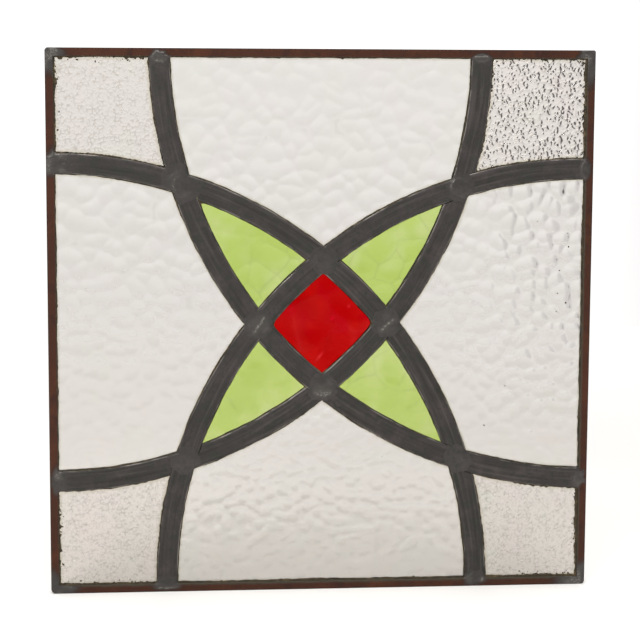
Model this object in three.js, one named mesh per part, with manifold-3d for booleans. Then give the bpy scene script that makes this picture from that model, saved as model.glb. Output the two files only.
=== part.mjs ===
// A small leaded light: four arcs of lead came cross over a square panel and hold thirteen panes of glass
// inside a border of U-shaped channel.
// Millimetres. X runs to the right, Y to the back, Z up. The origin is the middle of the bottom outer edge.

import * as THREE from "three";
import { mergeVertices } from "three/addons/utils/BufferGeometryUtils.js";
import Module from "manifold-3d";

// Outer size of the panel
const PANEL_WIDTH = 340;
const PANEL_HEIGHT = 340;

// Places of the came ends, as the size of each corner pane: from the panel's outer corner to the middle of
// the came beside it
const TOP_LEFT_WIDTH = 69.2;
const TOP_LEFT_HEIGHT = 70.2;
const TOP_RIGHT_WIDTH = 71.5;
const TOP_RIGHT_HEIGHT = 73.8;
const BOTTOM_LEFT_WIDTH = 72.8;
const BOTTOM_LEFT_HEIGHT = 71.6;
const BOTTOM_RIGHT_WIDTH = 71.1;
const BOTTOM_RIGHT_HEIGHT = 69.5;

// How far each arc bows past the straight line between its two ends, named for the corner that it goes round
const TOP_LEFT_RISE = 80.8;
const TOP_RIGHT_RISE = 79.0;
const BOTTOM_LEFT_RISE = 80.1;
const BOTTOM_RIGHT_RISE = 81.2;

// Glass, and the cement that beds it in the channels
const GLASS_THICKNESS = 3.2;
const CEMENT_BED = 0.3;
const GLASS_EDGE_CLEARANCE = 0.5;

// Lead came: an H of two leaves joined by a heart. The border's flanges are as thick as the leaves,
// so that all the faces lie level for soldering.
const LEAF_THICKNESS = 1.2;
const LEAF_WIDTH = 12.7;
const HEART_THICKNESS = 1.6;
const LEAF_BEVEL_WIDTH = 1.1;
const LEAF_BEVEL_DEPTH = 0.45;

// Border: a U with its back to the outside
const BORDER_FACE = 5.2;
const BORDER_WEB = 1.2;
const BORDER_BEVEL = 0.35;
const MITRE_GAP = 0.3;
const TOP_LEFT_ROUNDING = 1.6;
const TOP_RIGHT_ROUNDING = 0.8;
const BOTTOM_LEFT_ROUNDING = 2.8;
const BOTTOM_RIGHT_ROUNDING = 2.2;

// Where a cut came stops short of the metal that it meets
const JOINT_GAP = 0.3;

// Solder: a low puddle with a thin rim. Its shoulder is given as shares of the puddle's reach and height.
const SOLDER_HEIGHT = 0.7;
const SOLDER_RIM = 0.15;
const SOLDER_SHOULDER_OUT = 0.62;
const SOLDER_SHOULDER_HEIGHT = 0.72;
const CROSSING_SOLDER_DIAMETER = 18.5;
const END_SOLDER_LENGTH = 21;
const END_SOLDER_REACH = 5.2;
const CORNER_SOLDER_REACH = 15;
const SOLDER_EDGE_INSET = 0.2;

// Roundness of the curves
const ARC_STEP_DEGREES = 3;
const SOLDER_SIDES = 18;
const ROUNDING_STEPS = 4;

// Corner points closer than this are one point
const WELD_DISTANCE = 1e-4;

const LEAD = { color: 0x45413f, roughness: 0.55, metalness: 0.85 };
const CHANNEL = { color: 0x542f25, roughness: 0.6, metalness: 0.7 };
const SOLDER = { color: 0x5a5550, roughness: 0.45, metalness: 0.9 };
const CLEAR = { color: 0xe6e2dc, roughness: 0.1, metalness: 0, transparent: true, opacity: 0.4 };
const GREEN = { color: 0xb8dc66, roughness: 0.1, metalness: 0, transparent: true, opacity: 0.7 };
const RED = { color: 0xc00510, roughness: 0.08, metalness: 0, transparent: true, opacity: 0.8 };

// Thicknesses and places that follow from the sizes above
const channelHalf = GLASS_THICKNESS / 2 + CEMENT_BED;
const faceHalf = channelHalf + LEAF_THICKNESS;
const right = PANEL_WIDTH / 2;
const left = -right;
const top = PANEL_HEIGHT;
const leafHalf = LEAF_WIDTH / 2;
const heartHalf = HEART_THICKNESS / 2;
const paneInset = heartHalf + GLASS_EDGE_CLEARANCE;
const arcSides = Math.round(360 / ARC_STEP_DEGREES);

// A cutter reaches past the panel's faces by as much again
const cutterThickness = 4 * faceHalf;

const wasm = await Module();
wasm.setup();

// A closed geometry as a solid
function solid(geometry) {
  const bare = geometry.clone();
  bare.deleteAttribute("normal");
  bare.deleteAttribute("uv");
  const welded = mergeVertices(bare, WELD_DISTANCE);
  const mesh = new wasm.Mesh({
    numProp: 3,
    vertProperties: new Float32Array(welded.attributes.position.array),
    triVerts: new Uint32Array(welded.index.array),
  });
  return new wasm.Manifold(mesh);
}

// A solid back as a geometry
function geometryOf(body) {
  const mesh = body.getMesh();
  const geometry = new THREE.BufferGeometry();
  const positions = new Float32Array(mesh.vertProperties);
  geometry.setAttribute("position", new THREE.BufferAttribute(positions, 3));
  geometry.setIndex(new THREE.BufferAttribute(new Uint32Array(mesh.triVerts), 1));
  geometry.computeVertexNormals();
  return geometry;
}

// A box between two corners
function box(low, high) {
  const geometry = new THREE.BoxGeometry(high[0] - low[0], high[1] - low[1], high[2] - low[2]);
  geometry.translate((low[0] + high[0]) / 2, (low[1] + high[1]) / 2, (low[2] + high[2]) / 2);
  return solid(geometry);
}

// The circle through both ends of an arc. endOnLevel lies on the top or bottom edge, endOnSide on the left or
// right edge, and corner is the corner of the panel that the arc goes round.
function arc(corner, endOnLevel, endOnSide, rise) {
  const chord = endOnSide.clone().sub(endOnLevel);
  const halfChord = chord.length() / 2;
  const radius = (halfChord ** 2 + rise ** 2) / (2 * rise);
  const middle = endOnLevel.clone().add(endOnSide).multiplyScalar(0.5);
  const towardsCorner = new THREE.Vector2(-chord.y, chord.x).normalize();
  if (towardsCorner.dot(corner.clone().sub(middle)) < 0) {
    towardsCorner.negate();
  }
  const centre = middle.addScaledVector(towardsCorner, radius - rise);
  return { centre, radius };
}

const ARCS = {
  topLeft: arc(
    new THREE.Vector2(left, top),
    new THREE.Vector2(right - TOP_RIGHT_WIDTH, top),
    new THREE.Vector2(left, BOTTOM_LEFT_HEIGHT),
    TOP_LEFT_RISE,
  ),
  topRight: arc(
    new THREE.Vector2(right, top),
    new THREE.Vector2(left + TOP_LEFT_WIDTH, top),
    new THREE.Vector2(right, BOTTOM_RIGHT_HEIGHT),
    TOP_RIGHT_RISE,
  ),
  bottomLeft: arc(
    new THREE.Vector2(left, 0),
    new THREE.Vector2(right - BOTTOM_RIGHT_WIDTH, 0),
    new THREE.Vector2(left, top - TOP_LEFT_HEIGHT),
    BOTTOM_LEFT_RISE,
  ),
  bottomRight: arc(
    new THREE.Vector2(right, 0),
    new THREE.Vector2(left + BOTTOM_LEFT_WIDTH, 0),
    new THREE.Vector2(right, top - TOP_RIGHT_HEIGHT),
    BOTTOM_RIGHT_RISE,
  ),
};

// A closed outline of [distance from the arc's centre, depth] turned round the centre of an arc
function turned(outline, centre) {
  const points = outline.map(([distance, depth]) => new THREE.Vector2(distance, depth));
  points.push(points[0].clone());
  const geometry = new THREE.LatheGeometry(points, arcSides);
  geometry.translate(centre.x, 0, centre.y);
  return solid(geometry);
}

// A flat disk round an arc's centre, thick enough to cut everything
function disk({ centre, radius }, change) {
  const reach = radius + change;
  const geometry = new THREE.CylinderGeometry(reach, reach, cutterThickness, arcSides);
  geometry.translate(centre.x, 0, centre.y);
  return solid(geometry);
}

// The strip that a came covers, widened by a margin on both sides
function strip(curve, margin) {
  return disk(curve, leafHalf + margin).subtract(disk(curve, -leafHalf - margin));
}

// The H of a came: two leaves with bevelled outer edges, joined by the heart
function cameRing({ centre, radius }) {
  const half = [
    [heartHalf, -channelHalf],
    [leafHalf, -channelHalf],
    [leafHalf, LEAF_BEVEL_DEPTH - faceHalf],
    [leafHalf - LEAF_BEVEL_WIDTH, -faceHalf],
  ];
  const mirrorDepth = ([across, depth]) => [across, -depth];
  const mirrorAcross = ([across, depth]) => [-across, depth];
  const outerFront = [...half].reverse();
  const outerBack = half.map(mirrorDepth);
  const innerBack = [...half].reverse().map(mirrorDepth).map(mirrorAcross);
  const innerFront = half.map(mirrorAcross);
  const outline = [...outerFront, ...outerBack, ...innerBack, ...innerFront];
  return turned(outline.map(([across, depth]) => [radius + across, depth]), centre);
}

// The light of the border, less a margin all round
function opening(inset) {
  const reach = cutterThickness / 2;
  return box([left + inset, -reach, inset], [right - inset, reach, top - inset]);
}

// What lies inside some arcs and outside others
function keepRegion(body, inside, outside, margin) {
  let kept = body;
  for (const name of inside) {
    kept = kept.intersect(disk(ARCS[name], -margin));
  }
  for (const name of outside) {
    kept = kept.subtract(disk(ARCS[name], margin));
  }
  return kept;
}

const part = new THREE.Group();

function addPiece(name, body, finish) {
  const mesh = new THREE.Mesh(geometryOf(body), new THREE.MeshStandardMaterial(finish));
  mesh.name = name;
  part.add(mesh);
}

// The border: four bars of U channel, mitred at the corners

const barOutline = new THREE.Shape([
  new THREE.Vector2(0, BORDER_BEVEL - faceHalf),
  new THREE.Vector2(BORDER_BEVEL, -faceHalf),
  new THREE.Vector2(BORDER_FACE - BORDER_BEVEL, -faceHalf),
  new THREE.Vector2(BORDER_FACE, BORDER_BEVEL - faceHalf),
  new THREE.Vector2(BORDER_FACE, -channelHalf),
  new THREE.Vector2(BORDER_WEB, -channelHalf),
  new THREE.Vector2(BORDER_WEB, channelHalf),
  new THREE.Vector2(BORDER_FACE, channelHalf),
  new THREE.Vector2(BORDER_FACE, faceHalf - BORDER_BEVEL),
  new THREE.Vector2(BORDER_FACE - BORDER_BEVEL, faceHalf),
  new THREE.Vector2(BORDER_BEVEL, faceHalf),
  new THREE.Vector2(0, faceHalf - BORDER_BEVEL),
]);

// An outline in the panel's plane, made as thick as a cutter
function plate(shape) {
  const geometry = new THREE.ExtrudeGeometry(shape, {
    depth: cutterThickness,
    bevelEnabled: false,
    curveSegments: ROUNDING_STEPS,
  });
  geometry.rotateX(Math.PI / 2);
  geometry.translate(0, cutterThickness / 2, 0);
  return solid(geometry);
}

// The outside of the panel, with its four corners rounded
function roundedOutline() {
  const shape = new THREE.Shape();
  const quarter = Math.PI / 2;
  const corners = [
    { signX: -1, level: 0, signZ: 1, rounding: BOTTOM_LEFT_ROUNDING, start: 2 * quarter },
    { signX: 1, level: 0, signZ: 1, rounding: BOTTOM_RIGHT_ROUNDING, start: 3 * quarter },
    { signX: 1, level: top, signZ: -1, rounding: TOP_RIGHT_ROUNDING, start: 0 },
    { signX: -1, level: top, signZ: -1, rounding: TOP_LEFT_ROUNDING, start: quarter },
  ];
  for (const { signX, level, signZ, rounding, start } of corners) {
    const x = signX * (right - rounding);
    const z = level + signZ * rounding;
    shape.absarc(x, z, rounding, start, start + quarter);
  }
  return shape;
}

const roundedPanel = plate(roundedOutline());

// A mitre cutter runs this far past the inside of the bar's face
const mitreReach = 2 * BORDER_FACE;

// One bar, from the corner start along the direction along, with its face turned inward
function borderBar(start, along, inward, length) {
  const geometry = new THREE.ExtrudeGeometry(barOutline, { depth: length, bevelEnabled: false });
  const depthAxis = new THREE.Vector3(0, 1, 0);
  geometry.applyMatrix4(new THREE.Matrix4().makeBasis(inward, depthAxis, along));
  geometry.translate(start.x, 0, start.z);
  const shift = MITRE_GAP / Math.SQRT2;
  const near = start.clone().addScaledVector(along, shift);
  const far = start.clone().addScaledVector(along, length - shift);
  const corners = [
    near,
    far,
    far.clone().addScaledVector(along, -mitreReach).addScaledVector(inward, mitreReach),
    near.clone().addScaledVector(along, mitreReach).addScaledVector(inward, mitreReach),
  ];
  const mitres = plate(new THREE.Shape(corners.map(({ x, z }) => new THREE.Vector2(x, z))));
  return solid(geometry).intersect(mitres).intersect(roundedPanel);
}

const toRight = new THREE.Vector3(1, 0, 0);
const toLeft = new THREE.Vector3(-1, 0, 0);
const upward = new THREE.Vector3(0, 0, 1);
const downward = new THREE.Vector3(0, 0, -1);

const BARS = {
  border_bottom: borderBar(new THREE.Vector3(right, 0, 0), toLeft, upward, PANEL_WIDTH),
  border_top: borderBar(new THREE.Vector3(left, 0, top), toRight, downward, PANEL_WIDTH),
  border_left: borderBar(new THREE.Vector3(left, 0, 0), upward, toRight, PANEL_HEIGHT),
  border_right: borderBar(new THREE.Vector3(right, 0, top), downward, toLeft, PANEL_HEIGHT),
};
for (const [name, body] of Object.entries(BARS)) {
  addPiece(name, body, CHANNEL);
}

// The cames. The arc round the bottom right corner runs through from edge to edge. Each later arc in this
// order is cut where it meets the ones before it, which leaves lengths that lie inside some of those arcs
// and outside the others.

const CAME_ORDER = ["bottomRight", "topRight", "topLeft", "bottomLeft"];

const CAMES = [
  { name: "came_through_arc", on: "bottomRight", inside: [], outside: [] },
  { name: "came_top_to_middle_left", on: "topRight", inside: [], outside: ["bottomRight"] },
  { name: "came_middle_left_to_right_edge", on: "topRight", inside: ["bottomRight"], outside: [] },
  { name: "came_top_edge_right", on: "topLeft", inside: ["topRight"], outside: ["bottomRight"] },
  { name: "came_right_arc", on: "topLeft", inside: ["bottomRight", "topRight"], outside: [] },
  { name: "came_bottom_left_arc", on: "topLeft", inside: ["bottomRight"], outside: ["topRight"] },
  { name: "came_left_edge_lower", on: "topLeft", inside: [], outside: ["bottomRight", "topRight"] },
  {
    name: "came_left_edge_upper",
    on: "bottomLeft",
    inside: ["topLeft"],
    outside: ["topRight", "bottomRight"],
  },
  { name: "came_top_left_arc", on: "bottomLeft", inside: ["topLeft", "topRight"], outside: ["bottomRight"] },
  { name: "came_centre_link", on: "bottomLeft", inside: ["topLeft", "topRight", "bottomRight"], outside: [] },
  {
    name: "came_bottom_right_arc",
    on: "bottomLeft",
    inside: ["topRight", "bottomRight"],
    outside: ["topLeft"],
  },
  {
    name: "came_bottom_edge_right",
    on: "bottomLeft",
    inside: ["bottomRight"],
    outside: ["topLeft", "topRight"],
  },
];

const cameRoom = opening(BORDER_FACE + JOINT_GAP);
for (const { name, on, inside, outside } of CAMES) {
  const length = keepRegion(cameRing(ARCS[on]).intersect(cameRoom), inside, outside, leafHalf + JOINT_GAP);
  addPiece(name, length, LEAD);
}

// The glass. Each pane is the part of the panel inside some arcs and outside the others, and reaches into the
// channels round it.

const PANES = [
  { name: "pane_corner_top_left", inside: ["topLeft"], finish: CLEAR },
  { name: "pane_corner_top_right", inside: ["topRight"], finish: CLEAR },
  { name: "pane_corner_bottom_left", inside: ["bottomLeft"], finish: CLEAR },
  { name: "pane_corner_bottom_right", inside: ["bottomRight"], finish: CLEAR },
  { name: "pane_top", inside: ["topLeft", "topRight"], finish: CLEAR },
  { name: "pane_left", inside: ["topLeft", "bottomLeft"], finish: CLEAR },
  { name: "pane_right", inside: ["topRight", "bottomRight"], finish: CLEAR },
  { name: "pane_bottom", inside: ["bottomLeft", "bottomRight"], finish: CLEAR },
  { name: "leaf_top_left", inside: ["topLeft", "topRight", "bottomLeft"], finish: GREEN },
  { name: "leaf_top_right", inside: ["topLeft", "topRight", "bottomRight"], finish: GREEN },
  { name: "leaf_bottom_left", inside: ["topLeft", "bottomLeft", "bottomRight"], finish: GREEN },
  { name: "leaf_bottom_right", inside: ["topRight", "bottomLeft", "bottomRight"], finish: GREEN },
  { name: "red_centre", inside: CAME_ORDER, finish: RED },
];

const glassInset = BORDER_WEB + GLASS_EDGE_CLEARANCE;
const sheet = box(
  [left + glassInset, -GLASS_THICKNESS / 2, glassInset],
  [right - glassInset, GLASS_THICKNESS / 2, top - glassInset],
);
for (const { name, inside, finish } of PANES) {
  const outside = CAME_ORDER.filter((arcName) => !inside.includes(arcName));
  addPiece(name, keepRegion(sheet, inside, outside, paneInset), finish);
}

// The solder. Each puddle is a low dome on the metal's face, kept to the metal that it joins.

// side is -1 on the front and 1 on the back
function puddle(place, spreadX, spreadZ, side) {
  const profile = [
    [0, 0],
    [1, 0],
    [1, SOLDER_RIM],
    [SOLDER_SHOULDER_OUT, SOLDER_SHOULDER_HEIGHT * SOLDER_HEIGHT],
    [0, SOLDER_HEIGHT],
  ];
  const points = profile.map(([out, height]) => new THREE.Vector2(out, height));
  const geometry = new THREE.LatheGeometry(points, SOLDER_SIDES);
  geometry.scale(spreadX, 1, spreadZ);
  if (side < 0) {
    geometry.rotateZ(Math.PI);
  }
  geometry.translate(place.x, side * faceHalf, place.y);
  return solid(geometry);
}

// The two points where two arcs cross
function crossings(first, second) {
  const apart = second.centre.clone().sub(first.centre);
  const distance = apart.length();
  const along = (distance ** 2 + first.radius ** 2 - second.radius ** 2) / (2 * distance);
  const aside = Math.sqrt(first.radius ** 2 - along ** 2);
  const unit = apart.normalize();
  const foot = first.centre.clone().addScaledVector(unit, along);
  const across = new THREE.Vector2(-unit.y, unit.x);
  return [foot.clone().addScaledVector(across, aside), foot.clone().addScaledVector(across, -aside)];
}

function inPanel(point) {
  return Math.abs(point.x) < right && point.y > 0 && point.y < top;
}

function crossingNear(first, second, aim) {
  const found = crossings(ARCS[first], ARCS[second]).filter(inPanel);
  found.sort((a, b) => a.distanceTo(aim) - b.distanceTo(aim));
  return found[0];
}

const topLeftCorner = new THREE.Vector2(left, top);
const topRightCorner = new THREE.Vector2(right, top);
const bottomLeftCorner = new THREE.Vector2(left, 0);
const bottomRightCorner = new THREE.Vector2(right, 0);
const middle = new THREE.Vector2(0, top / 2);

const CROSSINGS = [
  { name: "upper_left", arcs: ["topRight", "bottomLeft"], aim: topLeftCorner },
  { name: "upper_right", arcs: ["topLeft", "bottomRight"], aim: topRightCorner },
  { name: "lower_left", arcs: ["topLeft", "bottomRight"], aim: bottomLeftCorner },
  { name: "lower_right", arcs: ["topRight", "bottomLeft"], aim: bottomRightCorner },
  { name: "middle_top", arcs: ["bottomLeft", "bottomRight"], aim: middle },
  { name: "middle_left", arcs: ["topRight", "bottomRight"], aim: middle },
  { name: "middle_right", arcs: ["topLeft", "bottomLeft"], aim: middle },
  { name: "middle_bottom", arcs: ["topLeft", "topRight"], aim: middle },
];

for (const { name, arcs, aim } of CROSSINGS) {
  const place = crossingNear(arcs[0], arcs[1], aim);
  const metal = strip(ARCS[arcs[0]], -SOLDER_EDGE_INSET).add(strip(ARCS[arcs[1]], -SOLDER_EDGE_INSET));
  const spread = CROSSING_SOLDER_DIAMETER / 2;
  addPiece(`solder_${name}_front`, puddle(place, spread, spread, -1).intersect(metal), SOLDER);
  addPiece(`solder_${name}_back`, puddle(place, spread, spread, 1).intersect(metal), SOLDER);
}

// The face of the border on the front
const borderFace = opening(0).subtract(opening(BORDER_FACE - SOLDER_EDGE_INSET)).intersect(roundedPanel);

// Where an arc passes an inner edge of the border. level is a Z, side is an X.
function onLevel({ centre, radius }, level, sign) {
  return new THREE.Vector2(centre.x + sign * Math.sqrt(radius ** 2 - (level - centre.y) ** 2), level);
}

function onSide({ centre, radius }, side, sign) {
  return new THREE.Vector2(side, centre.y + sign * Math.sqrt(radius ** 2 - (side - centre.x) ** 2));
}

// The inner edges of the border. On each one the sign picks which of an arc's two passes is meant.
const innerTop = top - BORDER_FACE;
const innerBottom = BORDER_FACE;
const innerLeft = left + BORDER_FACE;
const innerRight = right - BORDER_FACE;

const ENDS = [
  { name: "top_left", on: "topRight", find: onLevel, edge: innerTop, sign: -1 },
  { name: "top_right", on: "topLeft", find: onLevel, edge: innerTop, sign: 1 },
  { name: "bottom_left", on: "bottomRight", find: onLevel, edge: innerBottom, sign: -1 },
  { name: "bottom_right", on: "bottomLeft", find: onLevel, edge: innerBottom, sign: 1 },
  { name: "left_upper", on: "bottomLeft", find: onSide, edge: innerLeft, sign: 1 },
  { name: "left_lower", on: "topLeft", find: onSide, edge: innerLeft, sign: -1 },
  { name: "right_upper", on: "bottomRight", find: onSide, edge: innerRight, sign: 1 },
  { name: "right_lower", on: "topRight", find: onSide, edge: innerRight, sign: -1 },
];

const panelLess = opening(SOLDER_EDGE_INSET);
for (const { name, on, find, edge, sign } of ENDS) {
  const place = find(ARCS[on], edge, sign);
  const along = END_SOLDER_LENGTH / 2;
  const spreadX = find === onLevel ? along : END_SOLDER_REACH;
  const spreadZ = find === onLevel ? END_SOLDER_REACH : along;
  const metal = strip(ARCS[on], -SOLDER_EDGE_INSET).add(borderFace).intersect(panelLess);
  addPiece(`solder_end_${name}`, puddle(place, spreadX, spreadZ, -1).intersect(metal), SOLDER);
}

const CORNERS = {
  top_left: topLeftCorner,
  top_right: topRightCorner,
  bottom_left: bottomLeftCorner,
  bottom_right: bottomRightCorner,
};
for (const [name, corner] of Object.entries(CORNERS)) {
  const cap = puddle(corner, CORNER_SOLDER_REACH, CORNER_SOLDER_REACH, -1);
  addPiece(`solder_corner_${name}`, cap.intersect(borderFace).intersect(panelLess), SOLDER);
}

export default part;
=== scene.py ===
# %% [markdown]
# # A small leaded light
#
# This lesson dresses a stained glass panel: thirteen panes of old glass, held by lengths of lead came
# inside a border of metal channel. The solid model underneath has the true sizes and places, and it stays
# as it is. Each step makes one kind of piece round those sizes, or one finish, and says how the real thing
# came to look so.

import math
from collections import namedtuple

import bmesh
import bpy
import numpy as np
from mathutils import Matrix, Vector
from mathutils.geometry import tessellate_polygon


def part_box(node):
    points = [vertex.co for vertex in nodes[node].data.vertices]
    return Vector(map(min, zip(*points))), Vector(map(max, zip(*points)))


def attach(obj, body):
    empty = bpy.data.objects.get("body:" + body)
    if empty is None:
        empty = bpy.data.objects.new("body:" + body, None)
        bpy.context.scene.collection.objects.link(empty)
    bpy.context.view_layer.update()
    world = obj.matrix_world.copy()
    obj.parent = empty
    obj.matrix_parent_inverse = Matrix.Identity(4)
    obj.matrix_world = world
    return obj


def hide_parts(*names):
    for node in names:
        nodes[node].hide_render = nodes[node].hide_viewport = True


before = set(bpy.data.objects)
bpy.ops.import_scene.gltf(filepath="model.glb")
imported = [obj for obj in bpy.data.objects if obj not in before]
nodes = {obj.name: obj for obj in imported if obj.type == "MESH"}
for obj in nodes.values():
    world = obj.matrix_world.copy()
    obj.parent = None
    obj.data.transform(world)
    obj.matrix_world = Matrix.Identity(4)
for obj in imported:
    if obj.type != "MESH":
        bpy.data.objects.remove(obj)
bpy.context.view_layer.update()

# %% [markdown]
# ## The camera
#
# The panel is a true square, so the four corners of its picture are enough to work out where the picture
# was taken from: a little above the middle, a little to the left, with a long lens. A long lens keeps the
# verticals nearly parallel, which is why products are photographed with one. The camera comes first, so
# that every later step can be judged through it.

# %% Camera
SENSOR_WIDTH_MM = 36.0
LENS_MM = 110.4
CAMERA_PLACE = (-0.1123, -1.2137, 0.3282)
CAMERA_TURN = -0.0913
CAMERA_PITCH = -0.1276
CAMERA_ROLL = 0.0049

scene = bpy.context.scene
camera = bpy.data.objects.new("camera", bpy.data.cameras.new("camera"))
scene.collection.objects.link(camera)
camera.data.sensor_width = SENSOR_WIDTH_MM
camera.data.lens = LENS_MM
turned = Matrix.Rotation(CAMERA_TURN, 4, "Z")
tilted = Matrix.Rotation(math.pi / 2 + CAMERA_PITCH, 4, "X")
rolled = Matrix.Rotation(CAMERA_ROLL, 4, "Z")
camera.matrix_world = Matrix.Translation(CAMERA_PLACE) @ turned @ tilted @ rolled
scene.camera = camera
print(f"camera {Vector(CAMERA_PLACE).length:.2f} m from the foot of the panel")

# %% [markdown]
# ## Sizes, read off the solids
#
# Lead work is thought of in millimetres, so the script works in millimetres and turns to metres only when a
# mesh is made. The cames follow four circles. Nothing about them is typed in here: the corner points of the
# solid cames lie on two circles each, the outer and the inner edge of the leaf, and a least squares fit
# gives the centre that both share. The depths of the points give the section of the lead.

# %% Depths of the lead's section
MM = 0.001


def points_of(*names):
    """All the corner points of some solids, in millimetres."""
    return np.array([v.co[:] for name in names for v in nodes[name].data.vertices]) / MM


depths = np.unique(np.round(np.abs(points_of("came_through_arc")[:, 1]), 2))
CHANNEL_HALF = depths[0]
LEAF_EDGE_DEPTH = depths[-2]
FACE_HALF = depths[-1]
print(f"channel {2 * CHANNEL_HALF:.2f} mm wide, lead {2 * FACE_HALF:.2f} mm thick over all")

# %% The four circles
Circle = namedtuple("Circle", "x z radius")

CAMES_ON = {
    "top_left": ["came_right_arc", "came_bottom_left_arc", "came_left_edge_lower", "came_top_edge_right"],
    "top_right": ["came_top_to_middle_left", "came_middle_left_to_right_edge"],
    "bottom_left": ["came_top_left_arc", "came_centre_link", "came_bottom_right_arc", "came_left_edge_upper"],
    "bottom_right": ["came_through_arc"],
}


def fit_circle(names):
    """The middle line that some cames follow, and half the width of their leaves."""
    points = points_of(*names)
    edge = points[np.isclose(np.abs(points[:, 1]), LEAF_EDGE_DEPTH, atol=0.02)]
    x, z = edge[:, 0], edge[:, 2]
    outer = np.zeros(len(x), bool)
    for _ in range(4):
        terms = np.c_[2 * x, 2 * z, outer, ~outer]
        cx, cz, outer_term, inner_term = np.linalg.lstsq(terms, x * x + z * z, rcond=None)[0]
        distance = np.hypot(x - cx, z - cz)
        outer = distance > (distance.min() + distance.max()) / 2
    outer_radius = math.sqrt(outer_term + cx**2 + cz**2)
    inner_radius = math.sqrt(inner_term + cx**2 + cz**2)
    return Circle(cx, cz, (outer_radius + inner_radius) / 2), (outer_radius - inner_radius) / 2


CIRCLES = {}
for corner, names in CAMES_ON.items():
    CIRCLES[corner], LEAF_HALF = fit_circle(names)
    print(corner, *(f"{value:.2f}" for value in CIRCLES[corner]), f"leaf {2 * LEAF_HALF:.2f} mm wide")

# %% Sizes of the border and the glass
panel = points_of("border_left", "border_right", "border_top", "border_bottom")
HALF_WIDTH = panel[:, 0].max()
HEIGHT = panel[:, 2].max()
left_bar = points_of("border_left")
BORDER_FACE = left_bar[:, 0].max() + HALF_WIDTH
WEB = left_bar[:, 0][np.isclose(np.abs(left_bar[:, 1]), CHANNEL_HALF, atol=0.02)].min() + HALF_WIDTH
GLASS_HALF = points_of("red_centre")[:, 1].max()
glass_left = points_of("pane_corner_top_left")[:, 0].min()
GLASS_FROM_BORDER = glass_left + HALF_WIDTH
GLASS_CLEARANCE = GLASS_FROM_BORDER - WEB
HEART_HALF = 0.8
GLASS_FROM_LEAD = HEART_HALF + GLASS_CLEARANCE
JOINT_GAP = 0.3
print(f"border face {BORDER_FACE:.2f}, web {WEB:.2f}, glass {2 * GLASS_HALF:.2f} mm thick")

# %% [markdown]
# ## Where each piece ends
#
# A came or a pane is what lies inside some of the circles and outside the others. One function answers the
# only question that the pieces ask: how far is this point from the nearest thing that bounds the piece?
# Where the answer is above zero the point belongs to it. Written for whole arrays of points, it serves the
# sweeps, the cut edges of the glass, the line of cement and the grime and painted shade beside the lead.

# %% Distance to what bounds a piece
def depth_inside(circle, x, z):
    """How far a point lies inside a circle, and less than zero outside it."""
    return circle.radius - np.hypot(x - circle.x, z - circle.z)


def room_at(x, z, inside, outside, from_lead, from_border):
    """Distance to the nearest bound: came lines moved in by from_lead, panel edges by from_border."""
    rooms = [HALF_WIDTH - np.abs(x) - from_border, z - from_border, HEIGHT - z - from_border]
    rooms += [depth_inside(CIRCLES[name], x, z) - from_lead for name in inside]
    rooms += [-depth_inside(CIRCLES[name], x, z) - from_lead for name in outside]
    return np.minimum.reduce(np.broadcast_arrays(*rooms))


# %% [markdown]
# ## Chance that repeats
#
# Hand work is uneven, but a script has to give the same panel each time. Each square of an endless grid
# gets a number from a formula, and a smooth blend between the squares gives a soft drift. Everything uneven
# below, from the wander of a leaf's edge to the grain of the glass, comes from these two functions and a
# seed.

# %% Noise
def dice(i, j, seed):
    """A number from 0 to 1 for each square of a grid, the same each time."""
    mixed = np.sin(i * 127.1 + j * 311.7 + seed * 74.7) * 43758.5453
    return mixed - np.floor(mixed)


def drift(x, z, size, seed):
    """Smooth noise from -1 to 1 with features about size across."""
    u, v = np.asarray(x, float) / size, np.asarray(z, float) / size
    i, j = np.floor(u), np.floor(v)
    s, t = u - i, v - j
    s, t = s * s * (3 - 2 * s), t * t * (3 - 2 * t)
    low = dice(i, j, seed) * (1 - s) + dice(i + 1, j, seed) * s
    high = dice(i, j + 1, seed) * (1 - s) + dice(i + 1, j + 1, seed) * s
    return 2 * (low * (1 - t) + high * t) - 1


def ease(value):
    """From 0 to 1 with a soft start and a soft end."""
    value = np.clip(value, 0, 1)
    return value * value * (3 - 2 * value)


print(f"drift over ten places: {np.round(drift(np.arange(10) * 3.0, 0, 8, 1), 2)}")

# %% [markdown]
# ## Finishes
#
# A finish could be painted as an image, but a procedural one has no edges, no stretching and no size limit.
# Two effects are shared by several finishes, a mottle of tarnish and the grime that gathers where glass meets
# metal, which on the glass is painted shade as well, so each is a node group, built once. The rubbed edge of
# soft metal is a group as well, which keeps the lead's own tree easy to read; the paler rim that it marks on
# the lead is wear and painted highlight together. A group gives out only a colour, a mask or a height. The
# shader stays in each material, where its plain numbers can be read off.

# %% Helpers for nodes
def srgb(red, green, blue):
    """A colour as seen on a screen, 0 to 255, as the linear colour that a shader wants."""
    shown = (red / 255, green / 255, blue / 255)
    linear = [v / 12.92 if v <= 0.04045 else ((v + 0.055) / 1.055) ** 2.4 for v in shown]
    return (*linear, 1.0)


def put(tree, kind, inputs=None, **settings):
    """Adds a node. An input is given a plain value, or another node's socket to link from."""
    node = tree.nodes.new(kind)
    for name, value in settings.items():
        setattr(node, name, value)
    for name, value in (inputs or {}).items():
        if isinstance(value, bpy.types.NodeSocket):
            tree.links.new(value, node.inputs[name])
        else:
            node.inputs[name].default_value = value
    return node


def calculate(tree, operation, *numbers):
    """The result of a Math node, such as MULTIPLY, on plain numbers or sockets."""
    return put(tree, "ShaderNodeMath", dict(enumerate(numbers)), operation=operation).outputs[0]


def remap(tree, value, start, stop, low=0.0, high=1.0, way="LINEAR"):
    """Turns the range from start to stop of a value into the range from low to high."""
    limits = {"Value": value, "From Min": start, "From Max": stop, "To Min": low, "To Max": high}
    return put(tree, "ShaderNodeMapRange", limits, interpolation_type=way).outputs[0]


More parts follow.
